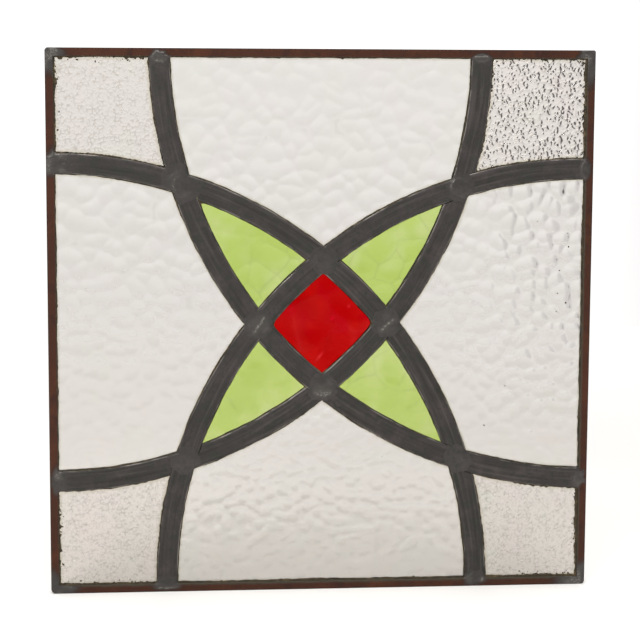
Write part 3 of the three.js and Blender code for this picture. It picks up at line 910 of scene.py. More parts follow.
# %% Grained relief
def grained(x, z, size, depth, groove, seed):
    """Depth of crooked grooves between grains about size across, with pits, and how near the nearest is."""
    bent_x = x + 0.3 * size * drift(x, z, size * 0.9, seed + 5)
    bent_z = z + 0.3 * size * drift(x, z, size * 0.9, seed + 6)
    nearest = np.full(x.shape, 1e9)
    second = np.full(x.shape, 1e9)
    for dx, dz, _ in scattered(bent_x, bent_z, size, seed):
        distance = np.hypot(dx, dz)
        second = np.minimum(second, np.maximum(nearest, distance))
        nearest = np.minimum(nearest, distance)
    here = ease(0.62 + 0.9 * drift(x, z, size * 0.8, seed + 7))
    grooves = depth * here * np.exp(-(((second - nearest) / groove) ** 2))
    pit_middle = np.full(x.shape, 1e9)
    for dx, dz, chance in scattered(x, z, size * 0.85, seed + 20):
        pit_middle = np.minimum(pit_middle, np.hypot(dx, dz) + 2 * (chance < 0.35))
    pits = 0.9 * depth * np.exp(-((pit_middle / (0.8 * groove)) ** 2))
    skin = 0.12 * depth * (1 + drift(x, z, size * 0.35, seed + 9))
    hollow = np.maximum(grooves, pits)
    return hollow + skin, (hollow / depth) ** 2


# %% [markdown]
# ### Cutting a pane
#
# A pane could be a filled outline, but its front needs an even net of points to hold the relief. So the net
# comes first: a square lattice over the pane, of which every square that lies wholly inside is kept. Then
# the outermost points are pushed out onto the true edge. That edge is hidden in the grooves of the lead, as
# on the real panel. The back is rolled smooth, so one flat face closes it.

# %% Cutting a pane
# In millimetres: how wide the strip is along the edge in which the relief fades out, a distance that stands
# for no metal near, and the small step over which a slope is measured
RELIEF_FADE = 1.5
NO_METAL = 99.0
NUDGE = 0.01


def outline_loop(cells):
    """Walks once round a block of lattice squares and gives the lattice points on its edge in order."""
    edges = {}
    for row, col in np.argwhere(cells):
        for (dr, dc), start, stop in (
            ((-1, 0), (row, col), (row, col + 1)),
            ((0, 1), (row, col + 1), (row + 1, col + 1)),
            ((1, 0), (row + 1, col + 1), (row + 1, col)),
            ((0, -1), (row + 1, col), (row, col)),
        ):
            r, c = row + dr, col + dc
            if not (0 <= r < cells.shape[0] and 0 <= c < cells.shape[1] and cells[r, c]):
                edges[start] = stop
    first = next(iter(edges))
    loop, here = [first], edges[first]
    while here != first:
        loop.append(here)
        here = edges[here]
    return loop


def cut_pane(node, inside, spacing, relief, finish, slot):
    """A pane inside some circles and outside the others. relief(x, z) gives the depth cut into its front."""
    outside = [corner for corner in CIRCLES if corner not in inside]
    low, high = (np.array(corner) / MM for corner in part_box(node))
    x, z = np.meshgrid(
        np.arange(low[0] - spacing, high[0] + 2 * spacing, spacing),
        np.arange(low[2] - spacing, high[2] + 2 * spacing, spacing),
    )

    def room(px, pz):
        return room_at(px, pz, inside, outside, GLASS_FROM_LEAD, GLASS_FROM_BORDER)

    kept = room(x, z) > 0.3 * spacing
    cells = kept[:-1, :-1] & kept[1:, :-1] & kept[:-1, 1:] & kept[1:, 1:]
    beside = np.zeros((cells.shape[0] + 2, cells.shape[1] + 2), int)
    beside[1:-1, 1:-1] = cells
    neighbours = beside[:-2, 1:-1] + beside[2:, 1:-1] + beside[1:-1, :-2] + beside[1:-1, 2:]
    cells &= neighbours > 1
    loop = outline_loop(cells)
    rows, cols = (np.array(part) for part in zip(*loop))
    for _ in range(3):
        px, pz = x[rows, cols], z[rows, cols]
        gap = room(px, pz)
        slope_x = (room(px + NUDGE, pz) - gap) / NUDGE
        slope_z = (room(px, pz + NUDGE) - gap) / NUDGE
        x[rows, cols], z[rows, cols] = px - gap * slope_x, pz - gap * slope_z
    used = np.zeros(x.shape, bool)
    for part in (used[:-1, :-1], used[1:, :-1], used[:-1, 1:], used[1:, 1:]):
        part |= cells
    number = np.cumsum(used).reshape(used.shape) - 1
    front_x, front_z = x[used], z[used]
    fade = ease(room(front_x, front_z) / RELIEF_FADE)
    depth, crease = relief(front_x, front_z)
    front_y = -GLASS_HALF + fade * depth
    front = np.stack([front_x, front_y, front_z], -1)
    rim = number[rows, cols]
    back = np.stack([front_x[rim], np.full(len(rim), GLASS_HALF), front_z[rim]], -1)
    row, col = np.nonzero(cells)
    square = ((0, 0), (0, 1), (1, 1), (1, 0))
    quads = np.stack([number[row + up, col + over] for up, over in square], -1)
    behind = len(front) + np.arange(len(rim))
    sides = np.stack([rim, np.roll(rim, -1), np.roll(behind, -1), behind], -1)
    shown = room_at(front_x, front_z, inside, outside, LEAF_HALF, BORDER_FACE)
    carries = {
        "to_metal": np.r_[shown, np.full(len(rim), NO_METAL)],
        "crease": np.r_[crease, np.zeros(len(rim))],
    }
    faces = quads.tolist() + sides.tolist() + [behind.tolist()]
    name = "glass_" + node.replace("pane_", "")
    return make_piece(name, np.r_[front, back], faces, finish, slot, [node], carries)


# %% The four large panes
def hammered_pane(node, inside, size, depth, seed, spacing=0.9, calm=None):
    """A large pane. calm gives two places across it: left of the first the bowls are only half as deep."""

    def relief(x, z):
        bowls, crease = hammered(x, z, size, depth, seed)
        if calm:
            pressed = 0.5 + 0.5 * ease((x - calm[0]) / (calm[1] - calm[0]))
            bowls, crease = bowls * pressed, crease * pressed
        return bowls + 0.05 * (1 + drift(x, z, 30, seed + 8)), crease

    return cut_pane(node, inside, spacing, relief, hammered_glass, "hammered_clear_glass")


hammered_pane("pane_top", [TL, TR], 9.5, 0.26, seed=301)
hammered_pane("pane_left", [TL, BL], 9.5, 0.26, seed=311)
hammered_pane("pane_right", [TR, BR], 8.5, 0.5, seed=321, calm=(80, 125))
hammered_pane("pane_bottom", [BL, BR], 7.0, 0.46, seed=331, spacing=0.72)

# %% The four corner panes
GRAIN_NET = 0.44


def grained_pane(node, inside, size, depth, groove, seed):
    def relief(x, z):
        return grained(x, z, size, depth, groove, seed)

    return cut_pane(node, inside, GRAIN_NET, relief, grained_glass, "grained_clear_glass")


grained_pane("pane_corner_top_left", [TL], 2.5, 0.24, 0.55, seed=401)
grained_pane("pane_corner_top_right", [TR], 3.2, 0.64, 0.68, seed=411)
grained_pane("pane_corner_bottom_left", [BL], 2.3, 0.36, 0.55, seed=421)
grained_pane("pane_corner_bottom_right", [BR], 2.3, 0.4, 0.55, seed=431)

# %% The coloured panes
COLOURED_NET = 0.62
# How much of its crease colour a pane keeps that has streaks of painted glint, which are to stand out
CREASE_BESIDE_GLINTS = 0.13


def coloured_pane(node, inside, size, depth, finish, slot, seed, ridge=0.2, glint_streaks=()):
    def relief(x, z):
        waves, crease = hammered(x, z, size, depth, seed, ridge)
        crease = crease * (CREASE_BESIDE_GLINTS if glint_streaks else 1)
        for middle_x, middle_z, turn, length, width in glint_streaks:
            dx, dz = x - middle_x, z - middle_z
            along = dx * math.cos(turn) + dz * math.sin(turn)
            aside = dz * math.cos(turn) - dx * math.sin(turn)
            crease = np.maximum(crease, np.exp(-((along / length) ** 2) - (aside / width) ** 2))
        return waves + 0.06 * (1 + drift(x, z, 14, seed + 8)), crease

    return cut_pane(node, inside, COLOURED_NET, relief, finish, slot)


for seed, (node, inside) in enumerate([
    ("leaf_top_left", [TL, TR, BL]),
    ("leaf_top_right", [TL, TR, BR]),
    ("leaf_bottom_left", [TL, BL, BR]),
    ("leaf_bottom_right", [TR, BL, BR]),
]):
    coloured_pane(node, inside, 15.0, 0.16, green_glass, "green_glass", seed=501 + 10 * seed)
# The red pane has three short pale streaks, painted glints: (x, z, turn, length, width)
GLINT_STREAKS = [(-1.3, 149.3, 0.9, 2.2, 0.7), (6.3, 173.0, 0.8, 1.3, 0.6), (16.8, 180.5, 1.2, 1.0, 0.6)]
coloured_pane(
    "red_centre", list(CIRCLES), 21.0, 0.5, red_glass, "red_glass", seed=551, ridge=0.35, glint_streaks=GLINT_STREAKS
)

# %% [markdown]
# ## Glazing cement
#
# Cement is scrubbed under the leaves with a brush and the rest is cleaned off, so what shows is a dark,
# ragged line where glass meets metal, wider where the glass is rough and the brush didn't reach. It is made
# as a low bead that starts under the leaf and ends on the glass, at a distance that wanders and has teeth.
# The bead follows the outline of each pane, taken one side at a time.

# %% The sides of a pane
Side = namedtuple("Side", "x z into_x into_z along bound")
# How far a side runs on under the next piece of metal, in millimetres, and the fewest steps that make a
# side
RUN_UNDER = 0.35
FEWEST_STEPS = 4


def sides_of_pane(inside, step):
    """Each stretch of metal that bounds the visible part of a pane, with the direction into the pane."""
    outside = [corner for corner in CIRCLES if corner not in inside]
    candidates = []
    for corner, circle in CIRCLES.items():
        towards = -1 if corner in inside else 1
        radius = circle.radius + towards * LEAF_HALF
        turn = np.arange(0, 2 * math.pi, step / radius)
        across, up = np.cos(turn), np.sin(turn)
        x, z = circle.x + radius * across, circle.z + radius * up
        candidates.append((x, z, towards * across, towards * up, radius * turn, corner))
    level = np.arange(BORDER_FACE, HEIGHT - BORDER_FACE, step)
    same = np.ones_like(level)
    edge = HALF_WIDTH - BORDER_FACE
    candidates += [
        (-edge * same, level, same, 0 * same, level, "left"),
        (edge * same, level, -same, 0 * same, level, "right"),
        (level - HEIGHT / 2, BORDER_FACE * same, 0 * same, same, level, "bottom"),
        (level - HEIGHT / 2, (HEIGHT - BORDER_FACE) * same, 0 * same, -same, level, "top"),
    ]
    sides = []
    for x, z, into_x, into_z, along, bound in candidates:
        on_edge = room_at(x, z, inside, outside, LEAF_HALF, BORDER_FACE) > -RUN_UNDER
        if on_edge.all() or not on_edge.any():
            continue
        roll = -int(np.flatnonzero(~on_edge)[0])
        rolled = [np.roll(values, roll) for values in (x, z, into_x, into_z, along)]
        on_edge = np.roll(on_edge, roll)
        starts = np.flatnonzero(on_edge & ~np.roll(on_edge, 1))
        stops = np.flatnonzero(on_edge & ~np.roll(on_edge, -1))
        for start, stop in zip(starts, stops):
            if stop - start > FEWEST_STEPS:
                sides.append(Side(*(values[start : stop + 1] for values in rolled), bound))
    return sides


print("sides of the red pane:", [(side.bound, len(side.x)) for side in sides_of_pane(list(CIRCLES), 0.6)])

# %% Where circles cross
MIDDLE = (0, HEIGHT / 2)
CORNER_AIM = {TL: (-HALF_WIDTH, HEIGHT), TR: (HALF_WIDTH, HEIGHT), BL: (-HALF_WIDTH, 0), BR: (HALF_WIDTH, 0)}


def crossing_near(first, second, aim, smaller_by=0):
    """Of the two points where two circles cross, the nearer to aim. Both may be made smaller first."""
    a, b = CIRCLES[first], CIRCLES[second]
    a_radius, b_radius = a.radius - smaller_by, b.radius - smaller_by
    gap_x, gap_z = b.x - a.x, b.z - a.z
    distance = math.hypot(gap_x, gap_z)
    along = (distance**2 + a_radius**2 - b_radius**2) / (2 * distance)
    aside = math.sqrt(a_radius**2 - along**2)
    foot = (a.x + gap_x * along / distance, a.z + gap_z * along / distance)
    turn = (-gap_z * aside / distance, gap_x * aside / distance)
    places = [(foot[0] + sign * turn[0], foot[1] + sign * turn[1]) for sign in (1, -1)]
    return min(places, key=lambda place: math.dist(place, aim))


# %% A bead of cement
FRONT, BACK = -1, 1
# In millimetres: how far the bead starts under the metal, how far it sinks in beside the glass, and its
# thinnest line
UNDER_METAL = 0.7
BESIDE_GLASS = 0.75
THINNEST_LINE = 0.12
# Corners that cement has filled round: (corner, how much wider the line is there, how far from the corner)
FILLED = [
    (crossing_near(TR, BL, CORNER_AIM[TL], LEAF_HALF), 1.7, 3.4),
    (crossing_near(TR, BR, MIDDLE, LEAF_HALF), 1.1, 2.2),
    (crossing_near(TL, BL, MIDDLE, LEAF_HALF), 1.2, 2.4),
    (crossing_near(BL, BR, MIDDLE, LEAF_HALF), 0.5, 1.5),
]


def bead_width(x, z, base, teeth, seed):
    """How far the cement reaches over the glass: a slow wander with teeth, wider in the filled corners."""
    wander = 1 + 0.8 * drift(x, z, 11, seed) + 0.4 * drift(x, z, 3.5, seed + 1)
    jag = np.maximum(drift(x, z, 1.7, seed + 2), 0) * np.maximum(0.4 + drift(x, z, 14, seed + 3), 0)
    width = np.maximum(base * wander + teeth * jag, THINNEST_LINE)
    for (corner_x, corner_z), more, reach in FILLED:
        width = width + more * np.exp(-((x - corner_x) ** 2 + (z - corner_z) ** 2) / reach**2)
    return width


def bead(side, width, face):
    """Points and faces of one bead on the front or the back of the glass."""
    bump = 0.05 * drift(side.x, side.z, 1.3, 77 + face)
    top = CHANNEL_HALF
    profile = [
        (-UNDER_METAL + 0 * width, top - 0.02 + 0 * width),
        (0 * width, top + 0.16 + bump),
        (0.4 * width, top + 0.05 + bump),
        (0.8 * width, GLASS_HALF + 0.16 + bump),
        (width, GLASS_HALF - 0.05 + 0 * width),
        (width - 0.05, GLASS_HALF - BESIDE_GLASS + 0 * width),
        (-UNDER_METAL + 0 * width, GLASS_HALF - BESIDE_GLASS + 0 * width),
    ]
    lines = [
        np.stack([side.x + side.into_x * reach, face * depth, side.z + side.into_z * reach], -1)
        for reach, depth in profile
    ]
    steps = len(side.x)
    section = [(float(reach.mean()), float(depth.mean())) for reach, depth in profile]
    return np.concatenate(lines), swept_faces(section, steps)


def join(parts):
    """Several lists of points and faces as one."""
    points, faces, count = [], [], 0
    for part_points, part_faces in parts:
        points.append(part_points)
        faces += [[index + count for index in face] for face in part_faces]
        count += len(part_points)
    return np.concatenate(points), faces


# %% Cement round every pane
# For each pane: the circles that it lies inside, how far cement shows, and how long its teeth are, in
# millimetres
CEMENTED = {
    "corner_top_left": ([TL], 0.5, 1.8),
    "corner_top_right": ([TR], 0.55, 1.6),
    "corner_bottom_left": ([BL], 0.45, 2.0),
    "corner_bottom_right": ([BR], 0.5, 2.0),
    "top": ([TL, TR], 0.4, 0.5),
    "left": ([TL, BL], 0.45, 0.6),
    "right": ([TR, BR], 0.4, 0.6),
    "bottom": ([BL, BR], 0.45, 0.8),
    "leaf_top_left": ([TL, TR, BL], 0.4, 0.4),
    "leaf_top_right": ([TL, TR, BR], 0.4, 0.4),
    "leaf_bottom_left": ([TL, BL, BR], 0.4, 0.4),
    "leaf_bottom_right": ([TR, BL, BR], 0.4, 0.4),
    "red_centre": (list(CIRCLES), 0.35, 0.3),
}
# Some sides were cleaned less well than the rest: the width is multiplied by this. The teeth are shorter
# beside the lead, which the brush follows better than the border.
THICKER = {
    ("corner_bottom_right", "right"): 1.9,
    ("right", "right"): 1.6,
    ("corner_top_right", "right"): 1.7,
    ("corner_bottom_right", "bottom"): 1.9,
    ("corner_bottom_left", "bottom"): 1.9,
    ("bottom", "bottom"): 2.1,
    ("corner_top_left", "left"): 1.3,
}
TEETH_BY_LEAD = 0.4
FRONT_STEP, BACK_STEP = 0.65, 1.6

for number, (pane, (inside, base, teeth)) in enumerate(CEMENTED.items()):
    parts = []
    for side in sides_of_pane(inside, FRONT_STEP):
        more = THICKER.get((pane, side.bound), 1.0)
        shorter = TEETH_BY_LEAD if side.bound in CIRCLES else 1.0
        width = bead_width(side.x, side.z, base * more, teeth * shorter, 600 + 10 * number)
        parts.append(bead(side, width, FRONT))
    for side in sides_of_pane(inside, BACK_STEP):
        width = bead_width(side.x, side.z, base, 0.5 * teeth, 800 + 10 * number)
        parts.append(bead(side, width, BACK))
    make_piece(f"cement_{pane}", *join(parts), cement)

# %% [markdown]
# ## Crumbs
#
# Where the cement broke, crumbs of it stuck to the glass, thickest beside the border, and black specks lie
# out on the large panes. Each crumb is a small lump, made from a ball whose points are pushed about and
# pressed flat.

# %% Crumbs of cement
# How high a crumb is beside its width
FLATNESS = 0.45
CRUMB_STEP = 1.1


def lump(middle, size, seed):
    """A small uneven lump half sunk in the glass."""
    ball = bmesh.new()
    bmesh.ops.create_icosphere(ball, subdivisions=1, radius=1.0)
    shape = np.array([v.co[:] for v in ball.verts])
    faces = [[v.index for v in face.verts] for face in ball.faces]
    ball.free()
    push = 0.75 + 0.5 * dice(np.arange(len(shape)), seed, 7)
    turn = 2 * math.pi * dice(seed, 3, 5)
    stretch = 1 + 0.8 * dice(seed, 4, 5)
    x, y, z = (shape * push[:, None]).T
    x = x * stretch
    across, up = x * math.cos(turn) - z * math.sin(turn), x * math.sin(turn) + z * math.cos(turn)
    points = [middle[0] + size * across, -GLASS_HALF + FLATNESS * size * y, middle[1] + size * up]
    return np.stack(points, -1), faces


def crumbs_beside(inside, share, seed):
    """Places and sizes of crumbs near the sides of a pane that touch the border."""
    places = []
    for side in sides_of_pane(inside, CRUMB_STEP):
        if side.bound in CIRCLES:
            continue
        chance = dice(np.arange(len(side.x)), seed, 11)
        for i in np.flatnonzero(chance < share):
            reach = 0.6 + 3.2 * dice(i, seed, 12) ** 2
            size = 0.2 + 0.45 * dice(i, seed, 13) ** 2
            places.append((side.x[i] + side.into_x[i] * reach, side.z[i] + side.into_z[i] * reach, size))
    return places


crumbs = []
for seed, (corner, share) in enumerate([(TL, 0.5), (BL, 0.45), (TR, 0.3), (BR, 0.45)], start=1):
    crumbs += crumbs_beside([corner], share, seed)
# Single specks out on the large panes: (x, z, size)
crumbs += [(155.7, 217.5, 0.5), (150.0, 202.5, 0.45), (154.5, 182.0, 0.55), (154.9, 226.0, 0.35)]
crumbs += [(135.5, 233.5, 0.3), (149.0, 188.0, 0.35), (148.5, 176.5, 0.35), (116.5, 129.2, 0.4)]
crumbs += [(103.5, 104.0, 0.45)]
parts = [lump((x, z), size, seed) for seed, (x, z, size) in enumerate(crumbs)]
make_piece("cement_crumbs", *join(parts), cement)

# %% [markdown]
# ## Solder
#
# Where cames meet, a puddle of solder joins them, front and back. It wets only metal, so it ends at the
# edge of the leaves, and along the came it thins out to nothing. Each puddle is a round net of points: rays
# run out from its middle, and each ray stops where the metal stops or where the puddle has thinned out. The
# height follows the cushion of the lead below, with the lumps and ridges that it froze with on top.

# %% Height of the metal below
EDGE_INSET = 0.15
# How softly the outlines of two cames run together where solder fills the corner between them
FILLET = 2.4


def from_outer_edge(x, z):
    """Distance to the outer edge of the border, which is filed round at its corners."""
    inward = np.minimum.reduce([HALF_WIDTH - np.abs(x), z, HEIGHT - z])
    for corner, (corner_x, corner_z) in CORNER_AIM.items():
        rounding = ROUNDING[corner]
        aside, level = np.abs(x - corner_x), np.abs(z - corner_z)
        in_rounding = (aside < rounding) & (level < rounding)
        inward = np.where(in_rounding, rounding - np.hypot(rounding - aside, rounding - level), inward)
    return inward


def metal_height(x, z, corners, on_border):
    """How far the metal, or solder that bridges a corner of it, stands out from the middle. 0 is neither."""
    inward = from_outer_edge(x, z)
    across = [np.abs(depth_inside(CIRCLES[corner], x, z)) for corner in corners]
    height = np.zeros(np.broadcast(x, z).shape)
    for distance in across:
        on_leaf = distance < LEAF_HALF - EDGE_INSET
        height = np.maximum(height, np.where(on_leaf, FACE_HALF - face_drop(distance), 0))
    outline = [distance - LEAF_HALF + EDGE_INSET for distance in across]
    if on_border:
        on_bar = inward < BORDER_FACE - EDGE_INSET
        height = np.maximum(height, np.where(on_bar, FACE_HALF, 0))
        outline.append(inward - BORDER_FACE + EDGE_INSET)
    if len(outline) == 2:
        near, far = np.minimum(*outline), np.maximum(*outline)
        bridged = near - np.maximum(FILLET - (far - near), 0) ** 2 / (4 * FILLET) < 0
        height = np.where(bridged, np.maximum(height, FACE_HALF - CUSHION_DROP - BEVEL_DROP), 0)
    return np.where(inward > EDGE_INSET, height, 0)


# %% A puddle
RAYS = 80
RINGS = 13
SOLDER_TOP = 0.68
SINK = 0.3
# In millimetres: the thinnest solder, and how wide its rounded rim is
THINNEST = 0.03
ROUND_RIM = 1.6
# How pale the crests of ridges and crescents are made: painted highlights
RIDGE_PAINTED_GLINT, CRESCENT_PAINTED_GLINT = 0.5, 0.45


def puddle(name, middle, reach, face, corners, on_border, look, seed, stands_for=()):
    """A puddle of solder at (x, z) that reaches (across, up), on the front or the back."""
    angle = np.linspace(0, 2 * math.pi, RAYS, endpoint=False)[:, None]
    out_x, out_z = np.cos(angle), np.sin(angle)
    thin_out = 1 / np.hypot(out_x / reach[0], out_z / reach[1])
    thin_out = thin_out * (1 + look.get("ragged", 0.1) * drift(angle * 3, seed, 1, seed))
    march = np.arange(0, max(reach) * 1.3, 0.1)[None, :]
    metal = metal_height(middle[0] + out_x * march, middle[1] + out_z * march, corners, on_border) > 0
    far = np.where(metal.all(axis=1), march.max(), march[0, np.argmin(metal, axis=1)] - 0.1)[:, None]
    limit = np.maximum(np.minimum(thin_out, far), 0.3)
    share = np.linspace(0, 1, RINGS + 1)[None, 1:] ** 0.9
    r = limit * share
    x, z = middle[0] + out_x * r, middle[1] + out_z * r
    skirt = np.clip(1 - (r / thin_out) ** 2, 0, 1)
    dome = ease((look.get("dome", 0.72) * (1 + 0.12 * drift(x, z, 4, seed + 3)) - r / thin_out) / 0.25)
    body = 0.4 * skirt + 0.6 * dome
    rounding = np.sqrt(np.clip((limit - r) / ROUND_RIM, 0, 1))
    lumps = look.get("lumps", 0.25) * (drift(x, z, 4.2, seed + 1) + 0.5 * drift(x, z, 1.9, seed + 2))
    height = look.get("height", 0.5) * body + lumps * 0.5 * ease(2 * body)
    painted_glint_and_wear = look.get("bright", 0.3) * ease(0.5 + drift(x, z, 5, seed + 4)) * ease(2 * body)
    # The crests of ridges and crescents below add painted highlights to this share.
    for ridge_turn, offset, width, rise in look.get("ridges", ()):
        away = (x - middle[0]) * math.sin(ridge_turn) - (z - middle[1]) * math.cos(ridge_turn) - offset
        crest = np.exp(-(((away + 0.5 * drift(x, z, 4, seed + 5)) / width) ** 2)) * ease(2.5 * body)
        height = height + rise * crest
        painted_glint_and_wear = np.maximum(painted_glint_and_wear, RIDGE_PAINTED_GLINT * crest)
    for crescent_turn, radius, width, rise in look.get("crescents", ()):
        crest = np.exp(-(((r - radius + 0.5 * drift(x, z, 3, seed + 6)) / width) ** 2))
        crest = crest * ease(1.6 * np.cos(angle - crescent_turn)) * ease(2.5 * body)
        height = height + rise * crest
        painted_glint_and_wear = np.maximum(painted_glint_and_wear, CRESCENT_PAINTED_GLINT * crest)
    height = np.clip(height, 0.0, SOLDER_TOP) * rounding + THINNEST
    ground = metal_height(x, z, corners, on_border)
    ground = np.where(ground > 0, ground, FACE_HALF - CUSHION_DROP - BEVEL_DROP)
    height = np.minimum(ground + height, FACE_HALF + SOLDER_TOP)
    top = np.stack([x, face * height, z], -1).reshape(-1, 3)
    peak = np.array([[middle[0], face * height[:, 0].mean(), middle[1]]])
    low_r = limit[:, 0]
    in_corner = far[:, 0] > thin_out[:, 0]
    low_y = np.where(in_corner, ground[:, -1] - SINK, np.minimum(ground[:, -1] - SINK, GLASS_HALF - 0.1))
    low = np.stack([middle[0] + out_x[:, 0] * low_r, face * low_y, middle[1] + out_z[:, 0] * low_r], -1)
    base = np.array([[middle[0], face * (FACE_HALF - CUSHION_DROP - SINK), middle[1]]])
    points = np.r_[top, peak, low, base]
    faces = wall_faces(RAYS, RINGS)
    crown, first_low = RAYS * RINGS, RAYS * RINGS + 1
    foot = first_low + RAYS
    for i in range(RAYS):
        j = (i + 1) % RAYS
        faces.append([crown, i * RINGS, j * RINGS])
        faces.append([i * RINGS + RINGS - 1, first_low + i, first_low + j, j * RINGS + RINGS - 1])
        faces.append([first_low + i, foot, first_low + j])
    bright = np.r_[painted_glint_and_wear.ravel(), painted_glint_and_wear[:, 0].mean(), np.zeros(RAYS), 0]
    run_out = ease((r / thin_out - 0.6) / 0.4) * ease((BORDER_FACE - from_outer_edge(x, z)) / 1.0)
    thin = np.r_[run_out.ravel(), 0, run_out[:, -1], 0]
    return make_piece(name, points, faces, solder, "solder", stands_for, {"bright": bright, "thin": thin})


# %% Solder at the crossings
CROSSING_REACH = 9.2
RISING, STEEP, LEFTWARD, UP_LEFT = (math.radians(turn) for turn in (42, 56, 165, 130))

# For each crossing: two of its circles, the part of the panel that it is in, and the look of its solder
CROSSINGS = {
    "upper_left": (TR, BL, CORNER_AIM[TL], {
        "height": 0.55, "lumps": 0.2, "bright": 0.1, "reach": 13.0, "crescents": [(LEFTWARD, 5.2, 0.9, 0.2)],
    }),
    "upper_right": (TL, BR, CORNER_AIM[TR], {
        "height": 0.5, "lumps": 0.4, "bright": 0.25, "crescents": [(UP_LEFT, 6.2, 0.9, 0.22)],
    }),
    "lower_left": (TL, BR, CORNER_AIM[BL], {"height": 0.4, "lumps": 0.12, "bright": 0.05}),
    "lower_right": (TR, BL, CORNER_AIM[BR], {"height": 0.35, "lumps": 0.1, "bright": 0.05}),
    "middle_top": (BL, BR, MIDDLE, {"height": 0.28, "lumps": 0.15, "bright": 0.1}),
    "middle_left": (TR, BR, MIDDLE, {
        "height": 0.22, "lumps": 0.2, "bright": 0.3, "ridges": [(STEEP, 0.6, 1.6, 0.3)],
    }),
    "middle_right": (TL, BL, MIDDLE, {
        "height": 0.22, "lumps": 0.2, "bright": 0.3, "ridges": [(RISING, 1.0, 1.6, 0.3)],
    }),
    "middle_bottom": (TL, TR, MIDDLE, {"height": 0.3, "lumps": 0.25, "bright": 0.45}),
}
for number, (name, (first, second, aim, look)) in enumerate(CROSSINGS.items()):
    place = crossing_near(first, second, aim)
    reach = [look.get("reach", CROSSING_REACH)] * 2
    for face, label in ((FRONT, "front"), (BACK, "back")):
        puddle(
            f"joint_{name}_{label}", place, reach, face, [first, second], False, look,
            900 + 10 * number + face, [f"solder_{name}_{label}"],
        )

# %% [markdown]
# ### Ends and corners
#
# The end of each came is soldered to the border, and so are the mitres. The solid model has these puddles
# on the front only. A real panel is soldered on both faces, so the back gets its own, plainer ones.

# %% Solder at the ends and corners
TOP_LINE, BOTTOM_LINE = HEIGHT - BORDER_FACE, BORDER_FACE
LEFT_LINE, RIGHT_LINE = BORDER_FACE - HALF_WIDTH, HALF_WIDTH - BORDER_FACE


def meets_level(corner, level, sign):
    """Where a circle crosses the inner edge of the top or the bottom bar."""
    circle = CIRCLES[corner]
    return circle.x + sign * math.sqrt(circle.radius**2 - (level - circle.z) ** 2), level


def meets_side(corner, side, sign):
    """Where a circle crosses the inner edge of the left or the right bar."""
    circle = CIRCLES[corner]
    return side, circle.z + sign * math.sqrt(circle.radius**2 - (side - circle.x) ** 2)


# For each end: the circle of its came, its place, how far the solder reaches across and up, and its look
ENDS = {
    "top_left": (TR, meets_level(TR, TOP_LINE, -1), (7.0, 5.6), {
        "height": 0.6, "lumps": 0.8, "bright": 0.5, "ragged": 0.25, "crescents": [(UP_LEFT, 4.6, 1.5, 0.1)],
    }),
    "top_right": (TL, meets_level(TL, TOP_LINE, 1), (6.8, 3.6), {
        "height": 0.3, "lumps": 0.2, "ridges": [(0.0, -1.0, 0.45, 0.3)],
    }),
    "bottom_left": (BR, meets_level(BR, BOTTOM_LINE, -1), (12.0, 5.2), {
        "height": 0.4, "lumps": 0.3, "bright": 0.62, "ridges": [(0.0, 2.6, 1.2, 0.3)],
    }),
    "bottom_right": (BL, meets_level(BL, BOTTOM_LINE, 1), (9.0, 5.4), {
        "height": 0.5, "lumps": 0.5, "bright": 0.5, "ragged": 0.25,
    }),
    "left_upper": (BL, meets_side(BL, LEFT_LINE, 1), (11.0, 9.0), {
        "height": 0.6, "lumps": 0.8, "bright": 0.4, "ragged": 0.25,
    }),
    "left_lower": (TL, meets_side(TL, LEFT_LINE, -1), (5.2, 10.5), {
        "height": 0.4, "lumps": 0.25, "bright": 0.4,
    }),
    "right_upper": (BR, meets_side(BR, RIGHT_LINE, 1), (4.2, 8.0), {
        "height": 0.5, "lumps": 0.4, "bright": 0.35,
    }),
    "right_lower": (TR, meets_side(TR, RIGHT_LINE, -1), (5.4, 6.8), {
        "height": 0.5, "lumps": 0.6, "bright": 0.3, "ragged": 0.25,
    }),
}
PLAIN = {"height": 0.45, "lumps": 0.25, "bright": 0.2}
for number, (name, (corner, place, reach, look)) in enumerate(ENDS.items()):
    seed, stands_for = 1100 + 10 * number, [f"solder_end_{name}"]
    puddle(f"joint_end_{name}", place, reach, FRONT, [corner], True, look, seed, stands_for)
    puddle(f"joint_end_{name}_back", place, reach, BACK, [corner], True, PLAIN, seed + 5)

# %% Solder over the mitres
# How far each cap runs along the level bar and along the upright one
CAP_REACH = {TL: (10, 18), TR: (10, 20), BL: (17, 13), BR: (17, 12)}


def corner_cap(name, corner, face, look, seed, stands_for=()):
    """Solder over a mitre: an L of metal, so it starts at the middle of the two bars' crossing."""
    inset = BORDER_FACE / 2
    outer_x, outer_z = CORNER_AIM[corner]
    x = outer_x - math.copysign(inset, outer_x)
    z = inset if outer_z == 0 else HEIGHT - inset
    puddle(name, (x, z), CAP_REACH[corner], face, [], True, look, seed, stands_for)


CAP_LOOK = {"height": 0.3, "lumps": 0.35, "bright": 0.45, "ragged": 0.25}
for number, corner in enumerate(CORNER_AIM):
    seed, stands_for = 1300 + 10 * number, [f"solder_corner_{corner}"]
    corner_cap(f"joint_corner_{corner}", corner, FRONT, CAP_LOOK, seed, stands_for)
    corner_cap(f"joint_corner_{corner}_back", corner, BACK, CAP_LOOK, seed + 5)
print(f"{triangle_count} triangles in all")

